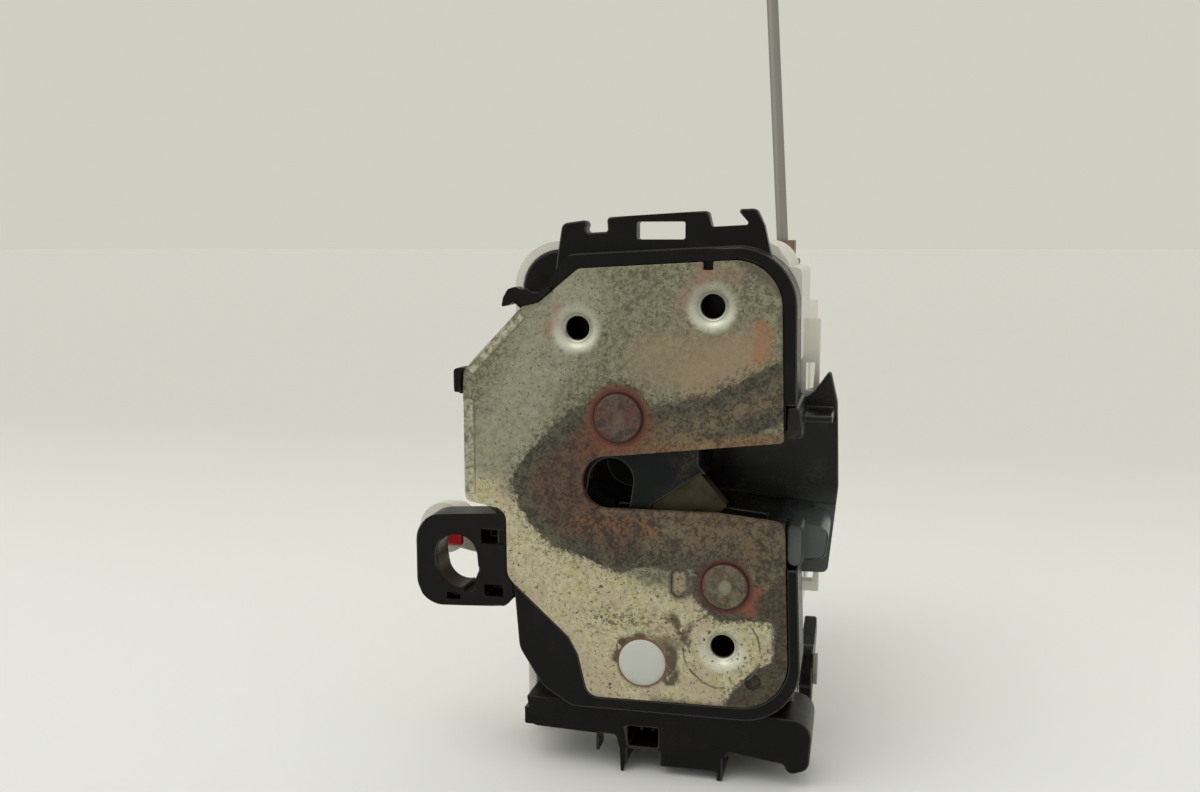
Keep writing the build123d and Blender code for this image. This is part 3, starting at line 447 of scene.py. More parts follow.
@dataclass(frozen=True)
class PlatedPlate(Finish):
    """Zinc plating that has gone grey green, with grime and rust round the slot."""

    bends: tuple[tuple[Flat, Flat, float, Flat], ...] = (
        ((-1.0, 0.0), (0.0, 1.0), 28.9, (-3.9, 16.4)),
        ((-0.723, 0.691), (0.691, 0.723), 36.1, (-4.6, 12.2)),
    )
    bend_radius: float = 2.6
    upper: tuple[Flat, Flat] = ((0.0, 5.6), (36.0, 9.8))
    lower: tuple[Flat, Flat] = ((0.0, -5.6), (36.0, -6.8))
    holes: tuple[Flat, ...] = ((-6.8, 32.1), (21.3, 36.9), (24.2, -33.9))
    rivets: tuple[tuple[Flat, float], ...] = (((2.1, 13.8), 5.1), ((24.7, -20.5), 4.8))
    button: Flat = (7.4, -38.3)
    blooms: tuple[tuple[Flat, Flat, float, Colour, float], ...] = (
        ((10.0, 26.0), (27.0, 26.5), 7.5, tone(142, 126, 102), 0.6),
        ((19.0, 20.5), (28.0, 27.0), 6.0, tone(150, 128, 104), 0.5),
        ((31.4, 33.0), (31.8, 28.0), 2.2, tone(150, 104, 76), 0.6),
        ((15.5, 38.0), (20.0, 43.8), 2.6, tone(140, 112, 100), 0.5),
        ((20.0, 43.8), (26.0, 43.0), 1.8, tone(142, 110, 98), 0.4),
        ((-12.4, 31.0), (-10.6, 36.4), 1.5, tone(150, 112, 100), 0.55),
    )
    rims: tuple[Capsule, ...] = (
        ((2.0, 46.4), (27.0, 47.6), 0.9), ((27.5, 47.4), (35.4, 41.0), 1.9),
        ((36.0, 40.0), (36.2, 24.0), 0.8), ((16.5, -33.0), (17.5, -29.5), 0.8),
        ((12.4, -33.8), (14.6, -40.5), 0.8), ((10.0, -46.4), (27.0, -46.6), 0.7),
    )
    crusts: tuple[Capsule, ...] = (
        ((1.8, -38.0), (3.4, -34.0), 0.9), ((3.4, -34.0), (7.8, -32.6), 0.9),
        ((13.6, -36.0), (13.4, -41.5), 1.5), ((14.0, -28.0), (17.0, -33.0), 0.9),
    )
    grime: tuple[Capsule, ...] = (
        ((2.1, 13.8), (2.1, 13.8), 7.0), ((8.0, 10.0), (20.0, 12.0), 6.2), ((20.0, 12.0), (35.5, 20.2), 5.6),
        ((-3.0, 8.0), (-12.0, -1.0), 8.6), ((-8.0, -6.0), (3.0, -9.5), 9.0), ((3.0, -9.5), (18.0, -8.5), 8.6),
        ((18.0, -8.5), (36.0, -12.0), 7.0), ((25.6, -20.4), (36.0, -20.4), 7.5),
        ((37.8, -27.0), (37.5, -36.0), 2.4), ((35.5, -41.5), (31.0, -46.0), 5.4),
    )
    corner: tuple[Capsule, ...] = (
        ((37.0, -28.0), (37.5, -38.0), 2.6), ((35.5, -41.5), (30.0, -46.5), 4.6),
        ((34.0, -24.0), (38.0, -20.0), 3.0),
    )
    pale: tuple[Capsule, ...] = (((-30.0, -12.0), (-2.0, -30.0), 12.0), ((-2.0, -34.0), (30.0, -38.0), 13.0))

    def bend(self, pen: Painter) -> Socket:
        """Return how far a place lies out on the plate's bent edges, in metres."""
        across, _, up = pen.apart()
        reaches = []
        for out, run, start, (low, high) in self.bends:
            far = pen.sum("MULTIPLY_ADD", across, out[0], pen.times(up, out[1]))
            along = pen.sum("MULTIPLY_ADD", across, run[0], pen.times(up, run[1]))
            far = pen.sum("MAXIMUM", pen.sum("SUBTRACT", far, start * MM), 0.0)
            first = pen.ramp(along, low, low + 0.6)
            last = pen.ramp(along, high + 0.6, high)
            reaches.append(pen.times(far, first, last))
        return pen.fold("MAXIMUM", reaches)

    def plating(self, pen: Painter) -> Socket:
        """Return the plating's own mottled colour, grey green above and creamy below."""
        coarse, fine = pen.noise(1.7, 7.0, 0.75, 0.2), pen.noise(0.7, 6.0, 0.7)
        mottle = pen.sum("MULTIPLY_ADD", coarse, 0.55, pen.times(fine, 0.45))
        cool = pen.mix(pen.fade(mottle, 0.43, 0.58), tone(136, 134, 111), tone(92, 90, 69))
        # Painted highlight: a pale silvery streak down the left of the plate.
        silver_highlight = pen.streak((-26.0, 2.0), (-8.0, 38.0), 7.0, 4.0, (9.0, 6.0, 0.23))
        cool = pen.over(cool, tone(166, 165, 144), silver_highlight, 0.42)
        tint = pen.cloud(0.55, 0.70, 7.0, 5.0, 0.6, 0.6, 0.31)
        cool = pen.over(cool, tone(134, 128, 88), tint, 0.4)
        shade = pen.cloud(0.52, 0.62, 5.0, 8.0, 0.72, 0.8, 0.67)
        cool = pen.over(cool, tone(76, 73, 55), shade, 0.22)
        pale = pen.mix(pen.fade(mottle, 0.42, 0.62), tone(192, 185, 154), tone(152, 145, 115))
        pink = pen.cloud(0.50, 0.62, 6.0, 4.0, 0.5, 0.5, 0.57)
        pale = pen.over(pale, tone(172, 154, 136), pink, 0.6)
        yellow = pen.cloud(0.52, 0.64, 5.0, 5.0, 0.6, 0.7, 0.83)
        pale = pen.over(pale, tone(166, 160, 108), yellow, 0.55)
        low = pen.within(pen.torn(pen.union(self.pale, 4.0), 5.0, 3.0, 0.61), 0.5, 2.5)
        flecks = pen.cloud(0.60, 0.64, 0.8, 3.0, 0.6, 0.0, 0.2)
        return pen.over(pen.mix(low, cool, pale), tone(62, 58, 42), flecks, 0.7)

    def blush(self, pen: Painter) -> None:
        """Add the brown and pink bloom near the upper right hole and the upper left one."""
        for number, (start, end, size, shade, most) in enumerate(self.blooms):
            tears = 3.0, 4.0, 0.11 * number
            pen.lay(shade, pen.streak(start, end, size * 0.775, size * 0.475, tears), most)

    def hole_highlights_and_shade(self, pen: Painter) -> Socket:
        """Paint a highlight on the dished rims of the holes, strongest on their lower side that faces the
        light, paint shade into their bores and return how strong a rim's painted highlight is.
        """
        _, depth, up = pen.apart()
        distances, lights = [], []
        for hole in self.holes:
            away, drop = pen.reach(hole), pen.sum("SUBTRACT", up, hole[1] * MM)
            distances.append(away)
            # Painted highlight: the lower side of each dish, facing the light from above, is lit more.
            below = pen.ramp(drop, 2.2, -3.6), pen.ramp(drop, -12.0, -8.0)
            lights.append(pen.times(*below, pen.within(away, 7.0, 0.5)))
        least = pen.fold("MINIMUM", distances)
        lower = pen.sum("MULTIPLY_ADD", pen.fold("MAXIMUM", lights), 0.62, 0.38)
        rim = pen.times(pen.within(pen.torn(least, 1.6, 0.5), 4.9, 1.0), lower)
        pen.lay(tone(206, 208, 192), rim, 0.9)
        # Painted shade: the deep bores are painted near black.
        pen.lay(tone(20, 19, 18), pen.within(least, 2.75, 0.1), pen.ramp(depth, 1.2, 2.4))
        return rim

    def dirt(self, pen: Painter) -> Socket:
        """Lay grime and rust over the band round the slot and return how dull they make it."""
        across, _, up = pen.apart()
        coarse, fine = pen.noise(2.2, 7.0, 0.7, 0.5, 0.37), pen.noise(0.6, 5.0, 0.7, 0.2, 0.5)
        grit = pen.sum("MULTIPLY_ADD", coarse, 0.5, pen.times(fine, 0.5))
        edge = pen.torn(pen.torn(pen.union(self.grime, 3.0), 5.0, 2.2, 0.4), 1.4, 0.9, 0.13)
        inside = pen.within(edge, 0.0, 0.35)
        north = pen.ramp(up, -1.0, 1.0)
        south = pen.sum("SUBTRACT", 1.0, north)
        fringe = tone(66, 64, 52)
        lace = pen.cloud(0.545, 0.575, 1.0, 6.0, 0.75, 0.3, 0.29)
        pen.lay(fringe, pen.ramp(edge, 4.5, 0.0), lace, 0.9)
        crumbs = pen.fade(grit, 0.50, 0.54)
        pen.lay(fringe, pen.ramp(edge, 1.6, 0.0), crumbs, 0.85)
        brown = pen.speckle(grit, tone(44, 34, 26), tone(88, 68, 50))
        olive = pen.speckle(grit, tone(54, 48, 36), tone(106, 96, 72))
        band = pen.speckle(grit, tone(40, 38, 29), tone(82, 78, 60))
        east = pen.fade(pen.torn(across, 5.0, 5.0, 0.77), 4.0 * MM, 11.0 * MM)
        inner = pen.mix(pen.times(east, 0.8), brown, olive)
        inner = pen.mix(pen.ramp(edge, -4.8, -1.8), inner, band)
        pen.lay(inner, inside)
        away = pen.torn(pen.sum("SUBTRACT", pen.reach((0.0, 0.0)), 5.0 * MM), 2.4, 1.4, 0.9)
        seat = pen.times(pen.within(away, 4.2, 1.4), pen.ramp(across, 4.0, -1.0))
        pen.lay(pen.speckle(grit, tone(44, 31, 23), tone(86, 60, 44)), seat, 0.8)
        tan = pen.speckle(grit, tone(80, 56, 38), tone(128, 102, 70))
        above = pen.streak(*self.upper, 2.0, 0.9, (2.0, 1.2, 0.3))
        pen.lay(tan, above, north, 0.8)
        wide = pen.streak((-4.0, 8.0), (9.0, 9.5), 3.4, 1.2, (3.0, 1.8, 0.66))
        near = pen.ramp(across, 16.0, 2.0)
        pen.lay(tone(96, 58, 36), wide, near, pen.fade(grit, 0.40, 0.54), 0.75)
        lip = pen.speckle(grit, tone(58, 46, 34), tone(98, 82, 62))
        below = pen.streak(*self.lower, 1.7, 0.5, (3.0, 0.5, 0.8))
        pen.lay(lip, below, south, 0.85)
        patch = pen.streak((-6.0, -8.6), (9.0, -9.2), 1.6, 1.2)
        pen.lay(tone(118, 74, 42), patch, pen.fade(grit, 0.46, 0.56), 0.75)
        rust = pen.streak((20.0, -11.0), (35.0, -13.0), 3.0, 3.0)
        pen.lay(tone(104, 68, 42), rust, pen.fade(grit, 0.50, 0.58), 0.5)
        return pen.sum("MAXIMUM", inside, seat)

    def rust(self, pen: Painter) -> None:
        """Add the rings round the rivets, the first all round and the second run down to one side, and a
        painted shade ring in the gap at each head's edge.
        """
        for number, (rivet, radius) in enumerate(self.rivets):
            away = pen.reach(rivet)
            ring = pen.torn(away, 1.6, 0.5, 0.5 + number)
            halo = pen.within(ring, radius + 1.4, 1.2)
            if number:
                halo = pen.streak((26.5, -23.0), (29.5, -23.5), 3.2, 1.2, (3.0, 1.6, 0.2))
            pen.lay(tone(128, 62, 38), halo, 0.65)
            pen.lay(tone(80, 38, 28), pen.within(ring, radius + 1.0, 0.5), 0.85)
            # Painted shade: a thin dark ring in the gap round each rivet head.
            pen.lay(tone(34, 22, 20), pen.within(away, radius + 0.3, 0.16), 0.9)

    def stains(self, pen: Painter) -> None:
        """Add the stains of the plate's foot, its borders, the crack and the specks, and the painted shade of
        the blind hole.
        """
        blot = pen.streak((8.0, -34.0), (14.0, -33.5), 1.6, 0.8, (2.4, 1.8, 0.35))
        pen.lay(tone(108, 92, 70), blot, 0.75)
        crumbs = pen.cloud(0.38, 0.46, 1.4, 6.0, 0.7, 0.3, 0.52)
        for start, end, wide in self.crusts:
            crust = pen.streak(start, end, wide, 0.5, (2.0, 1.4, 0.93))
            pen.lay(tone(70, 58, 43), crust, crumbs, 0.9)
        ring = pen.within(pen.torn(pen.reach(self.button), 1.2, 0.4), 5.5, 0.4)
        pen.lay(tone(112, 74, 50), ring, 0.9)
        # The oval bump: darker over its outline, with lighter broken patches on its top.
        pad = pen.torn(pen.along((15.2, -19.4), (15.2, -21.8)), 1.0, 0.4)
        pen.lay(tone(70, 66, 54), pen.within(pad, 2.3, 0.5), 0.75)
        top_cloud = pen.cloud(0.38, 0.52, 1.2, 5.0, 0.7, 0.0, 0.9)
        pen.lay(tone(158, 144, 118), pen.within(pad, 1.3, 0.5), top_cloud, 0.85)
        # Painted shade: the blind hole is painted near black.
        pit = pen.within(pen.reach((30.7, -40.7)), 1.7, 0.1)
        pen.lay(tone(30, 28, 24), pit, 0.9)
        crack = pen.torn(pen.reach((24.2, -34.4)), 3.0, 1.0, 0.71)
        line = pen.sum("SUBTRACT", pen.within(crack, 8.25, 0.12), pen.within(crack, 7.85, 0.12))
        broken = pen.cloud(0.40, 0.52, 3.0, 3.0, 0.5, 0.0, 0.9)
        pen.lay(tone(84, 80, 62), line, broken, 0.85)
        for start, end, wide in self.rims:
            border = pen.streak(start, end, wide, 0.9, (1.8, 1.2, 0.21))
            pen.lay(tone(82, 72, 58), border, 0.75)
        corner = pen.within(pen.torn(pen.union(self.corner), 2.0, 1.4, 0.37), 0.0, 0.7)
        soot = pen.speckle(pen.noise(0.8, 6.0, 0.72, 0.3, 0.7), tone(42, 35, 25), tone(74, 63, 48))
        pen.lay(soot, corner, 0.88)
        low = pen.within(pen.union(self.pale, 4.0), 1.0, 2.0)
        specks = pen.cloud(0.62, 0.65, 1.0, 3.0, 0.5, 0.0, 0.44)
        thick = pen.cloud(0.42, 0.56, 7.0, 3.0, 0.5, 0.0, 0.19)
        pen.lay(tone(60, 55, 38), specks, thick, low, 0.85)
        drift = pen.streak((-2.0, -29.5), (12.0, -29.0), 2.2, 2.2, (3.0, 2.5, 0.77))
        loose = pen.cloud(0.50, 0.55, 1.3, 7.0, 0.75, 0.2, 0.6)
        pen.lay(tone(70, 64, 46), drift, loose, 0.8)

    def paint(self, pen: Painter) -> bpy.types.Material:
        """Write plating, blush, the painted highlights and shade of the holes, grime, rust and specks in
        turn, then the painted highlight of the bent edges.
        """
        pen.colour = self.plating(pen)
        self.blush(pen)
        rim, dull = self.hole_highlights_and_shade(pen), self.dirt(pen)
        self.rust(pen)
        self.stains(pen)
        fine, coarse = pen.noise(0.45, 5.0, 0.7), pen.noise(1.6, 6.0, 0.7, 0.4)
        bend = self.bend(pen)
        # Painted highlight: the plate's bent edges are painted pale where they catch the light.
        bend_highlight = pen.mix(pen.fade(coarse, 0.42, 0.60), tone(180, 177, 156), tone(112, 108, 88))
        pen.lay(bend_highlight, pen.ramp(bend, 0.3, 0.8), 0.85)
        # Painted shade: a thin dark line where each bend starts.
        ends = pen.ramp(bend, 0.02, 0.12), pen.ramp(bend, 0.3, 0.45)
        pen.lay(tone(92, 88, 70), pen.sum("SUBTRACT", *ends), 0.6)
        metal = pen.sum("MULTIPLY_ADD", dull, -0.40, 0.42, clamp=True)
        rough = pen.sum("MULTIPLY_ADD", dull, 0.26, pen.sum("MULTIPLY_ADD", fine, 0.20, 0.38))
        rough = pen.sum("MULTIPLY_ADD", rim, -0.14, rough)
        relief = pen.sum("MULTIPLY_ADD", dull, 0.10 * MM, 0.012 * MM)
        height = pen.sum("MULTIPLY_ADD", coarse, relief, pen.times(fine, 0.04 * MM))
        fall = pen.times(pen.times(bend, bend), -0.5 / (self.bend_radius * MM))
        pen.bump(pen.sum("ADD", height, fall), 0.8, 1.0 / MM)
        return pen.finish(Base_Color=pen.colour, Metallic=metal, Roughness=rough)


class Look(Enum):
    """The finishes that the latch's pieces share."""

    PLATE = PlatedPlate("zinc_plate")
    BLACK = Moulding("black_moulding", tone(11, 11, 11), tone(58, 50, 40), 0.22, 0.27, 0.25, 0.13)
    GUARD = Moulding(
        "guard_moulding", tone(13, 14, 15), tone(88, 86, 78), 0.34, 0.26, 0.2, 0.24,
        # Painted sheen with scuffs and dust on the lower flare and posts.
        ((43.0, -17.0), 10.0, 4.0, tone(84, 88, 88)),
    )
    COVER = Moulding("ratchet_moulding", tone(12, 14, 17), tone(84, 78, 58), 0.45, 0.34, 0.25, 0.14)
    CLIP = Moulding(
        "clip_moulding", tone(13, 12, 11), tone(84, 68, 50), 0.30, 0.34, 0.25, 0.14,
        ((-33.5, -18.8), 6.3, 0.4, tone(62, 50, 36)),
    )
    # Lighter plastic on the rounded edges of the black mouldings: edge wear and a painted highlight.
    EDGE = Moulding("worn_and_lit_black_edge", tone(40, 39, 36), tone(78, 72, 62), 0.25, 0.24, 0.2, 0.30)
    WHITE = Moulding("white_moulding", tone(204, 202, 192), tone(156, 146, 126), 0.30, 0.42, 0.15, 0.3)
    BUTTON = Moulding("button_moulding", tone(172, 174, 168), tone(150, 146, 136), 0.3, 0.40, 0.10, 0.2)
    RED = Moulding("red_moulding", tone(186, 26, 34), tone(120, 60, 52), 0.2, 0.30, 0.10)
    BROWN = Moulding("brown_moulding", tone(104, 84, 68), tone(140, 124, 104), 0.5, 0.5)
    NYLON = Moulding("nylon_moulding", tone(214, 208, 188), tone(180, 168, 140), 0.2, 0.38, 0.12)
    RUBBER = Moulding("rubber_stop", tone(14, 14, 14), tone(60, 54, 48), 0.3, 0.66, 0.25, 0.2)
    STEEL = DrawnSteel("drawn_steel", tone(168, 166, 160), tone(80, 70, 60), 0.25, 0.26)
    DARK = DrawnSteel("dark_steel", tone(104, 98, 90), tone(58, 42, 34), 0.6, 0.40)
    # Dark, dirty steel; on the connector terminals its darkness is also painted shade of the socket round
    # them.
    WORN = DrawnSteel("worn_and_shaded_steel", tone(76, 70, 52), tone(40, 34, 24), 0.9, 0.44)
    ZINC = DrawnSteel("zinc_steel", tone(170, 168, 146), tone(112, 96, 70), 0.35, 0.36)
    BRASS = DrawnSteel("plain_brass", tone(176, 148, 84), tone(104, 80, 46), 0.4, 0.32)
    RIVET_UP = RustedRivet("ratchet_rivet", (2.1, 13.8), 5.1)
    RIVET_LOW = RustedRivet(
        "pawl_rivet", (24.7, -20.5), 4.8,
        tone(104, 98, 80), tone(70, 64, 50), tone(92, 72, 54), tone(148, 144, 128),
    )


WORN_LIT_EDGE_LOOKS: dict[Look, Look] = dict.fromkeys((Look.BLACK, Look.GUARD, Look.CLIP, Look.COVER), Look.EDGE)

LOOK_NODES: dict[Look, tuple[str, ...]] = {
    Look.PLATE: ("face_plate",),
    Look.BLACK: (
        "latch_case", "case_floor", "connector_shroud", "inside_lever", "lock_lever", "motor_end_cap",
        "lock_switch",
    ),
    Look.CLIP: ("clip_block",),
    Look.GUARD: ("striker_guard",),
    Look.COVER: ("ratchet_cover",),
    Look.WHITE: ("rod_clip_white", "rear_housing", "actuator_box", "side_cover"),
    Look.BUTTON: ("button_plug",),
    Look.RED: ("rod_clip_red",),
    Look.BROWN: ("rod_guide",),
    Look.NYLON: ("reduction_gear",),
    Look.RUBBER: ("slot_bumper",),
    Look.STEEL: (
        "ratchet_spring", "pawl_follower_pin", "pawl_spring", "cover_screws", "lock_lever_axle", "gear_axle",
        "motor_shaft", "rod_tip",
    ),
    Look.DARK: ("back_plate", "pawl", "release_lever_pin", "inside_lever_pin", "lock_rod"),
    Look.WORN: ("connector_terminals", "ratchet_core"),
    Look.ZINC: ("release_lever", "motor_can"),
    Look.BRASS: ("motor_pinion",),
    Look.RIVET_UP: ("ratchet_pin",),
    Look.RIVET_LOW: ("pawl_pin",),
}
NODE_LOOKS: dict[str, Look] = {node: look for look, nodes in LOOK_NODES.items() for node in nodes}


@dataclass
class Studio:
    """The pale floor and wall, the soft lights and the camera."""

    floor: float = -65.0 * MM
    floor_size: float = 40.0
    floor_back: float = 10.0
    glow: Colour = (0.78, 0.768, 0.735)
    lamp_colour: Colour = (1.0, 0.98, 0.94)
    wall_colour: Colour = tone(207, 206, 194)
    # Painted light: the floor near the latch, lighter than the far floor, against the shade the latch casts.
    lit_floor_colour: Colour = tone(230, 232, 228)
    far_colour: Colour = tone(208, 208, 202)
    suns: tuple[tuple[str, Point, float, float], ...] = (
        ("key_light", (-0.30, -0.42, 1.0), 50.0, 0.88), ("fill_light", (-1.0, -0.8, 0.25), 60.0, 0.25),
    )
    lens: float = 34.56
    sensor: float = 36.0
    eye: Point = (0.051370, -0.229918, 0.049296)
    ahead: Point = (-0.22303, 0.96603, -0.13053)
    up: Point = (-0.02936, 0.12718, 0.99144)

    def build(self) -> None:
        """Build everything that isn't the latch."""
        self.backdrop()
        self.lights()
        self.camera()

    def backdrop(self) -> None:
        """Add the floor; the plain wall behind it is the sky's colour, which lights sets."""
        deselect()
        bpy.ops.mesh.primitive_plane_add(size=self.floor_size, location=(0.0, self.floor_back, self.floor))
        floor = bpy.context.object
        floor.name = "floor"
        settle(floor)
        floor.data.materials.append(self.paper())

    def paper(self) -> bpy.types.Material:
        """Return the floor's pale paper, with painted light near the latch against the shade it casts, so it
        darkens towards the wall.
        """
        pen = Painter("floor_paper")
        cloud = pen.mix(pen.noise(300.0, 3.0), self.lit_floor_colour, shaded(self.lit_floor_colour, 0.95))
        _, depth, _ = pen.apart()
        colour = pen.mix(pen.fade(depth, 0.0, 0.5), cloud, self.far_colour)
        return pen.finish(Base_Color=colour, Roughness=0.6, Specular_IOR_Level=0.1)

    def lights(self) -> None:
        """Add the soft lights and the sky, pale to eye, mirror and glass."""
        world = bpy.data.worlds.new("studio_sky")
        bpy.context.scene.world = world
        world.use_nodes = True
        tree = world.node_tree
        back = tree.nodes["Background"]
        ray = tree.nodes.new("ShaderNodeLightPath").outputs
        seen = ray["Is Camera Ray"]
        for name in ("Is Glossy Ray", "Is Transmission Ray"):
            both = tree.nodes.new("ShaderNodeMath")
            both.operation = "MAXIMUM"
            tree.links.new(seen, both.inputs[0])
            tree.links.new(ray[name], both.inputs[1])
            seen = both.outputs[0]
        mix = tree.nodes.new("ShaderNodeMix")
        mix.data_type = "RGBA"
        tree.links.new(seen, mix.inputs[0])
        mix.inputs[6].default_value = (*self.glow, 1.0)
        mix.inputs[7].default_value = (*self.wall_colour, 1.0)
        tree.links.new(mix.outputs[2], back.inputs[0])
        for name, aim, spread, strength in self.suns:
            self.lamp(name, aim, spread, strength)

    def lamp(self, name: str, aim: Point, spread: float, strength: float) -> None:
        """Add one broad far light.

        Args:
            name: The light's name.
            aim: The direction from the latch to the light.
            spread: The light's breadth in degrees.
            strength: Its strength.
        """
        data = bpy.data.lights.new(name, "SUN")
        data.angle, data.energy = math.radians(spread), strength
        data.color = self.lamp_colour
        lamp = bpy.data.objects.new(name, data)
        bpy.context.scene.collection.objects.link(lamp)
        lamp.location = Vector(aim).normalized()
        lamp.rotation_euler = (-Vector(aim)).to_track_quat("-Z", "Y").to_euler()

    def camera(self) -> None:
        """Add the camera at the viewing angle."""
        data = bpy.data.cameras.new("camera")
        data.lens, data.sensor_width, data.clip_start = self.lens, self.sensor, 10.0 * MM
        camera = bpy.data.objects.new("camera", data)
        bpy.context.scene.collection.objects.link(camera)
        ahead, up = Vector(self.ahead).normalized(), Vector(self.up).normalized()
        right = ahead.cross(up).normalized()
        turn = Matrix((right, up, -ahead)).transposed().to_4x4()
        camera.matrix_world = Matrix.Translation(self.eye) @ turn
        bpy.context.scene.camera = camera


def deselect() -> None:
    """Clear the selection."""
    bpy.ops.object.select_all(action="DESELECT")


def take(piece: bpy.types.Object) -> bpy.types.Object:
    """Select one object alone and make it the active one."""
    deselect()
    piece.select_set(True)
    bpy.context.view_layer.objects.active = piece
    return piece


def apply_all(piece: bpy.types.Object) -> None:
    """Apply each modifier of a piece, in order."""
    take(piece)
    for modifier in list(piece.modifiers):
        bpy.ops.object.modifier_apply(modifier=modifier.name)


def settle(piece: bpy.types.Object) -> None:
    """Bring a piece's place into its mesh, so that its object sits at the origin."""
    take(piece)
    bpy.ops.object.transform_apply(location=True, rotation=True, scale=True)


@contextmanager
def editing(piece: bpy.types.Object) -> Iterator[None]:
    """Edit a piece with its whole mesh selected."""
    take(piece)
    bpy.ops.object.mode_set(mode="EDIT")
    bpy.ops.mesh.select_all(action="SELECT")
    yield
    bpy.ops.object.mode_set(mode="OBJECT")


def block(low: Point, high: Point) -> bpy.types.Object:
    """Add a box between two corners in millimetres."""
    deselect()
    middle = mm(*((a + b) / 2 for a, b in zip(low, high)))
    bpy.ops.mesh.primitive_cube_add(size=1.0, location=middle, scale=mm(*(b - a for a, b in zip(low, high))))
    return bpy.context.object


def smooth(piece: bpy.types.Object, angle: float = 32.0) -> None:
    """Shade a piece smooth, apart from edges sharper than an angle in degrees."""
    take(piece)
    bpy.ops.object.shade_smooth_by_angle(angle=math.radians(angle))


def finish_piece(piece: bpy.types.Object, body: Body, look: Look) -> bpy.types.Object:
    """Give a new piece its finish and its body.

    Args:
        piece: The piece.
        body: The body that carries it.
        look: Its finish.

    Returns:
        The piece.
    """
    looks = [look, WORN_LIT_EDGE_LOOKS.get(look, look)] if len(piece.data.materials) == 2 else [look]
    if len(looks) == 1:
        piece.data.materials.clear()
        piece.data.materials.append(None)
    for index, part in enumerate(looks):
        piece.data.materials[index] = part.value.material()
    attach(piece, body.value)
    log.info("%s: %d faces", piece.name, len(piece.data.polygons))
    return piece


def side_of(start: np.ndarray, end: np.ndarray, other: np.ndarray) -> np.ndarray:
    """Tell on which side of each segment each of some points lies.

    Args:
        start: The segments' first points in a plane.
        end: The segments' second points.
        other: The points.

    Returns:
        A row for each segment: above 0 on its left, below 0 on its right.
    """
    run, gap = end - start, other[None, :, :] - start[:, None, :]
    return run[:, None, 0] * gap[:, :, 1] - run[:, None, 1] * gap[:, :, 0]


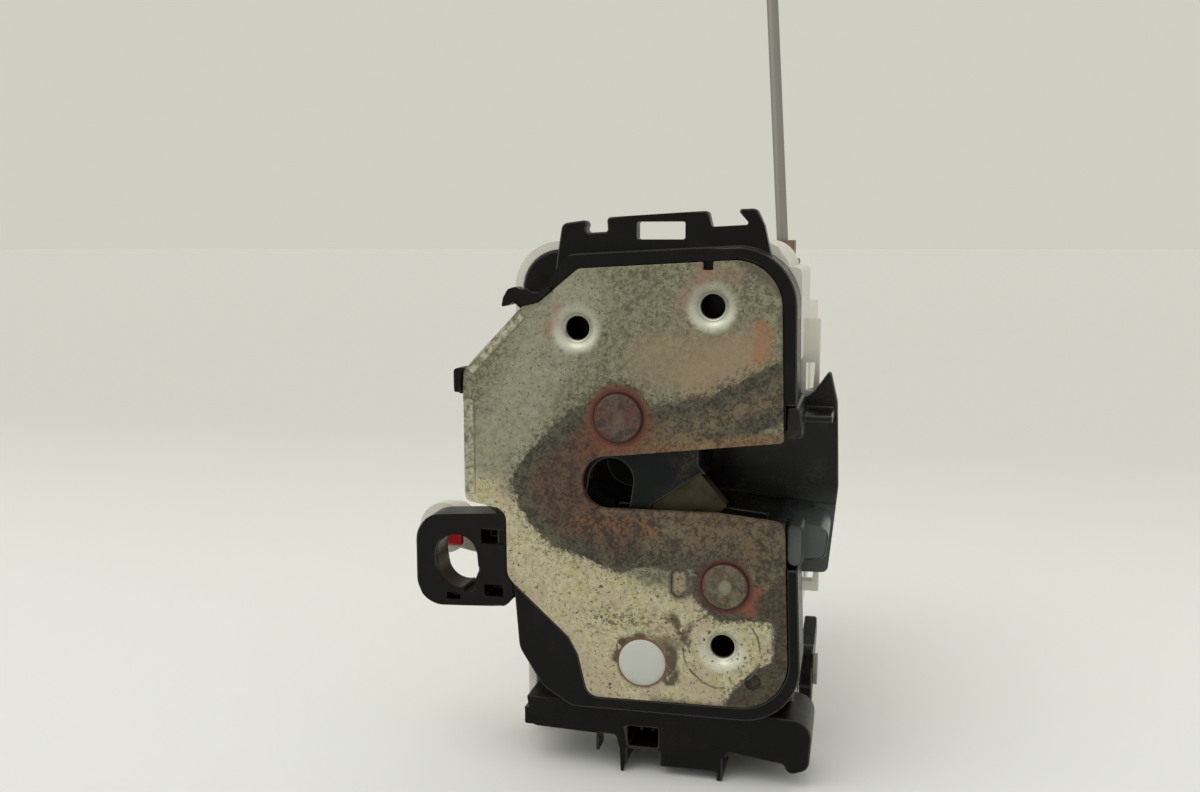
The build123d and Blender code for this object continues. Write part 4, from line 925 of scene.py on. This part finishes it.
@dataclass
class Rounder:
    """Rounds a carried over shape's sharp edges wherever there is room for it.

    Lengths are in millimetres and angles in degrees. Only weld is in metres. The edges in the lip's
    box are rounded in full and the others by the share called rest.
    """

    node: str
    width: float
    segments: int = 2
    sharp: float = 38.0
    flat: float = 0.6
    weld: float = 2e-6
    rounds: int = 6
    reach: float = 0.9
    eased: float = 0.35
    rest: float = 1.0
    lip: tuple[Point, Point] | None = None
    cuts: tuple[tuple[Point, Point], ...] = ()

    def build(self) -> bpy.types.Object:
        """Return a rounded, evenly shaded copy of the node."""
        source = self.merged()
        weights = self.sharp_edges(source.data)
        for attempt in range(self.rounds):
            piece = self.bevelled(source, weights)
            spots = self.crossings(piece.data)
            if not spots or attempt == self.rounds - 1:
                break
            self.ease(source.data, weights, spots, attempt)
            bpy.data.objects.remove(piece)
        log.info("%s rounded, %d faulty spots left", self.node, len(spots))
        bpy.data.objects.remove(source)
        even = piece.modifiers.new("even_shading", "WEIGHTED_NORMAL")
        even.mode, even.weight, even.keep_sharp = "FACE_AREA", 50, True
        smooth(piece)
        apply_all(piece)
        piece.name = f"{self.node}_moulded"
        return piece

    def merged(self) -> bpy.types.Object:
        """Return a copy of the node with its triangles merged into flat faces."""
        mesh = frame["nodes"][self.node].data.copy()
        piece = bpy.data.objects.new(f"{self.node}_source", mesh)
        bpy.context.scene.collection.objects.link(piece)
        with editing(piece):
            bpy.ops.mesh.remove_doubles(threshold=self.weld)
            bpy.ops.mesh.normals_make_consistent(inside=False)
        for low, high in self.cuts:
            self.cut(piece, low, high)
        with editing(piece):
            bpy.ops.mesh.dissolve_limited(angle_limit=math.radians(self.flat))
        return piece

    def cut(self, piece: bpy.types.Object, low: Point, high: Point) -> None:
        """Cut a box, given by two corners in millimetres, out of a piece."""
        cutter = block(low, high)
        change = piece.modifiers.new("cut", "BOOLEAN")
        change.operation, change.object, change.solver = "DIFFERENCE", cutter, "EXACT"
        apply_all(piece)
        bpy.data.objects.remove(cutter)

    def weight(self, mesh: bpy.types.Mesh, edge: bpy.types.MeshEdge) -> float:
        """Return 1 for an edge in the lip's box, and the lesser weight elsewhere."""
        if self.lip is None:
            return self.rest
        low, high = (mm(*corner) for corner in self.lip)
        ends = [mesh.vertices[i].co for i in edge.vertices]
        inside = all(low[k] <= end[k] <= high[k] for end in ends for k in range(3))
        return 1.0 if inside else self.rest

    def sharp_edges(self, mesh: bpy.types.Mesh) -> dict[int, float]:
        """Return the first rounding weight of each sharp edge."""
        sides: dict[tuple[int, int], list[Vector]] = {}
        for face in mesh.polygons:
            for key in face.edge_keys:
                sides.setdefault(key, []).append(face.normal)
        limit = math.cos(math.radians(self.sharp))
        return {
            edge.index: self.weight(mesh, edge) for edge in mesh.edges
            if len(sides.get(edge.key, [])) == 2 and sides[edge.key][0].dot(sides[edge.key][1]) < limit
        }

    def bevelled(self, source: bpy.types.Object, weights: dict[int, float]) -> bpy.types.Object:
        """Return a copy whose edges are rounded by their weights."""
        piece = source.copy()
        piece.data = source.data.copy()
        bpy.context.scene.collection.objects.link(piece)
        values = piece.data.attributes.new("bevel_weight_edge", "FLOAT", "EDGE").data
        for index, weight in weights.items():
            values[index].value = weight
        bevel = piece.modifiers.new("rounding", "BEVEL")
        bevel.width, bevel.segments = self.width * MM, self.segments
        bevel.limit_method, bevel.use_clamp_overlap, bevel.miter_outer = "WEIGHT", False, "MITER_ARC"
        # The rounded faces take the second slot, which on the black mouldings holds the worn, lit edge finish
        # with its painted highlight.
        bevel.material = 1
        piece.data.materials.clear()
        for _ in range(2):
            piece.data.materials.append(None)
        apply_all(piece)
        return piece

    def crossings(self, mesh: bpy.types.Mesh) -> list[Vector]:
        """Return where the outlines of faces cross themselves."""
        spots: list[Vector] = []
        for face in mesh.polygons:
            if len(face.vertices) < 4:
                continue
            points = np.array([mesh.vertices[i].co[:] for i in face.vertices])
            flat = np.delete(points, int(np.argmax(np.abs(face.normal))), axis=1)
            after = np.roll(flat, -1, axis=0)
            parted = side_of(flat, after, flat) * side_of(flat, after, after) < APART
            hit = np.triu(parted & parted.T, 2)
            spots += [Vector(points[i]) for i in np.argwhere(hit)[:, 0]]
        return spots

    def ease(
        self, mesh: bpy.types.Mesh, weights: dict[int, float], spots: list[Vector], attempt: int,
    ) -> None:
        """Lower the weights of the edges that pass near the faulty spots.

        Args:
            mesh: The mesh whose edges are weighed.
            weights: The weight of each sharp edge, changed in place.
            spots: Where outlines cross, in metres.
            attempt: The number of the round; later ones reach farther and leave the edges sharp.
        """
        near = self.reach * MM * (1.0 + 0.5 * attempt)
        for index in weights:
            a, b = (mesh.vertices[i].co for i in mesh.edges[index].vertices)
            length = (b - a).length
            for spot in spots:
                along = min(max((spot - a).dot(b - a) / max(length * length, 1e-12), 0.0), 1.0)
                if (a.lerp(b, along) - spot).length < near:
                    weights[index] *= self.eased if attempt < 2 else 0.0
                    break


def turned(
    name: str, centre: Flat, rings: Sequence[Flat], sides: int = 64, hollow: bool = False,
) -> bpy.types.Object:
    """Turn a piece about an axis along Y, from a first ring that is extruded ring by ring.

    Args:
        name: The piece's name.
        centre: The axis, as (x, z) in millimetres.
        rings: (radius, y) of each ring in millimetres, from the front's middle to the back's, or once
            round the section of a hollow piece.
        sides: The number of sides.
        hollow: Whether the last ring joins the first.

    Returns:
        The closed piece.
    """
    deselect()
    radius, level = rings[0]
    bpy.ops.mesh.primitive_circle_add(
        vertices=sides, radius=radius * MM, fill_type="NOTHING" if hollow else "NGON",
        location=mm(centre[0], level, centre[1]), rotation=(math.radians(90), 0.0, 0.0),
    )
    piece = bpy.context.object
    piece.name = name
    settle(piece)
    with editing(piece):
        for wide, y in rings[1:]:
            bpy.ops.mesh.extrude_region_move(TRANSFORM_OT_translate={"value": (0.0, (y - level) * MM, 0.0)})
            ratio = wide / radius
            bpy.ops.transform.resize(value=(ratio, 1.0, ratio), center_override=mm(centre[0], y, centre[1]))
            radius, level = wide, y
        if hollow:
            bpy.ops.mesh.select_all(action="DESELECT")
            bpy.ops.mesh.select_non_manifold()
            bpy.ops.mesh.bridge_edge_loops()
        bpy.ops.mesh.select_all(action="SELECT")
        bpy.ops.mesh.normals_make_consistent(inside=False)
    smooth(piece)
    return piece


@dataclass
class Dimples:
    """The dished rims of the three fixing holes, the lowest one with a raised ring."""

    plain: tuple[Flat, ...] = ((6.4, 0.8), (6.4, -0.01))
    raised: tuple[Flat, ...] = (
        (8.6, 0.8), (8.6, -0.01), (8.3, -0.13), (7.9, -0.20), (7.3, -0.17), (6.4, -0.11),
    )
    dish: tuple[Flat, ...] = (
        (5.6, -0.07), (5.1, -0.10), (4.6, -0.05), (4.0, 0.12), (3.4, 0.50), (2.95, 0.94), (2.62, 1.5),
        (2.5, 2.2), (2.48, 3.0), (3.2, 3.0),
    )
    sides: int = 96

    def build(self) -> None:
        """Turn the three rims."""
        outers = {"upper_left": self.plain, "upper_right": self.plain, "lower": self.raised}
        for (name, outer), centre in zip(outers.items(), Look.PLATE.value.holes):
            piece = turned(f"dimple_{name}", centre, outer + self.dish, self.sides, hollow=True)
            finish_piece(piece, Body.ROOT, Look.PLATE)


@dataclass
class Rivets:
    """The two riveted pivots of the mechanism, with dished heads."""

    back: float = 15.6
    flat: tuple[Flat, ...] = (
        (0.3, -0.30), (0.7, -0.34), (1.2, -0.52), (1.5, -0.60), (2.6, -0.66), (3.9, -0.74), (4.4, -0.80),
    )
    dished: tuple[Flat, ...] = (
        (0.4, -0.30), (1.1, -0.32), (1.5, -0.40), (1.7, -0.58), (2.4, -0.62), (3.3, -0.78), (4.1, -0.86),
    )

    def build(self) -> None:
        """Turn both rivets in place of their nodes."""
        self.rivet("ratchet_pin", Look.RIVET_UP, 3.0, 4.3, self.flat)
        self.rivet("pawl_pin", Look.RIVET_LOW, 2.8, 4.0, self.dished)

    def rivet(self, node: str, look: Look, shank: float, tail: float, face: tuple[Flat, ...]) -> None:
        """Turn one rivet.

        Args:
            node: The node that it stands for.
            look: Its finish, which knows its axis and the head's radius.
            shank: The shank's radius.
            tail: The closed tail's radius.
            face: (radius, y) of the rings on its face.
        """
        head = look.value.radius
        rings = [
            *face, (head * 0.92, -0.86), (head * 0.98, -0.66), (head, -0.35), (head, 0.0), (shank, 0.0),
            (shank, self.back), (tail, self.back), (tail, self.back + 0.6), (tail * 0.8, self.back + 1.0),
        ]
        piece = turned(f"{node}_turned", look.value.centre, rings)
        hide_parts(node)
        finish_piece(piece, Body.ROOT, look)


@dataclass
class Button:
    """The white plug that closes the hole at the foot of the plate, with a low dome and a rounded rim."""

    rings: tuple[Flat, ...] = (
        (0.4, -0.72), (1.6, -0.70), (3.0, -0.62), (4.0, -0.52), (4.5, -0.40), (4.85, -0.22), (5.0, 0.0),
        (3.15, 0.0), (3.15, 5.2), (2.6, 5.9),
    )

    def build(self) -> None:
        """Turn the plug in place of its node."""
        piece = turned("button_plug_turned", Look.PLATE.value.button, self.rings)
        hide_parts("button_plug")
        finish_piece(piece, Body.ROOT, Look.BUTTON)


@dataclass
class Moulded:
    """The moulded and pressed pieces whose edges are rounded."""

    rounders: tuple[Rounder, ...] = (
        Rounder("face_plate", 0.8, 4, rest=0.3, lip=((-7.0, -0.1, -10.8), (35.3, 0.1, 10.8))),
        Rounder("latch_case", 0.35), Rounder("case_floor", 0.3),
        Rounder("clip_block", 0.4, cuts=(((-44.0, 7.6, -30.0), (-27.6, 13.0, -8.0)),)),
        Rounder("striker_guard", 0.4), Rounder("connector_shroud", 0.35),
        Rounder("rear_housing", 0.4, cuts=(((-26.0, 20.0, -67.0), (-1.0, 29.0, -61.0)),)),
        Rounder("actuator_box", 0.4), Rounder("side_cover", 0.3), Rounder("ratchet_cover", 0.3),
        Rounder("rod_guide", 0.4), Rounder("back_plate", 0.25), Rounder("inside_lever", 0.4),
        Rounder("release_lever", 0.3), Rounder("lock_lever", 0.25),
    )

    def build(self) -> None:
        """Round each piece in place of its node."""
        carried = frame["record"]["behaviour"]["bodies"]
        bodies = {node: body for body, nodes in carried.items() for node in nodes}
        for rounder in self.rounders:
            piece = rounder.build()
            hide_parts(rounder.node)
            finish_piece(piece, Body(bodies[rounder.node]), NODE_LOOKS[rounder.node])


@dataclass
class RodLatch:
    """The red latch of the rod clip, a rounded tab that snaps over the bush."""

    low: Point = (-42.6, 12.1, -19.0)
    high: Point = (-36.6, 14.2, -14.4)
    edge: float = 0.9
    segments: int = 6

    def build(self) -> None:
        """Shape the tab from a block in place of its node."""
        piece = block(self.low, self.high)
        piece.name = "rod_latch"
        settle(piece)
        with editing(piece):
            bpy.ops.mesh.bevel(offset=self.edge * MM, segments=self.segments, affect="EDGES")
            bpy.ops.mesh.normals_make_consistent(inside=False)
        smooth(piece)
        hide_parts("rod_clip_red")
        finish_piece(piece, Body.RELEASE, Look.RED)


def dress_nodes() -> None:
    """Give each carried over node its finish."""
    for name, look in NODE_LOOKS.items():
        node = frame["nodes"][name]
        node.data.materials.clear()
        node.data.materials.append(look.value.material())
    log.info("dressed %d nodes", len(NODE_LOOKS))


def main() -> None:
    """Build the scene in order."""
    logging.basicConfig(level=logging.INFO, format="%(name)s: %(message)s")
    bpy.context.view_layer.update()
    bpy.context.scene.view_settings.view_transform = "Standard"
    dress_nodes()
    Moulded().build()
    RodLatch().build()
    Rivets().build()
    Button().build()
    Dimples().build()
    Studio().build()


if __name__ == "__main__":
    main()
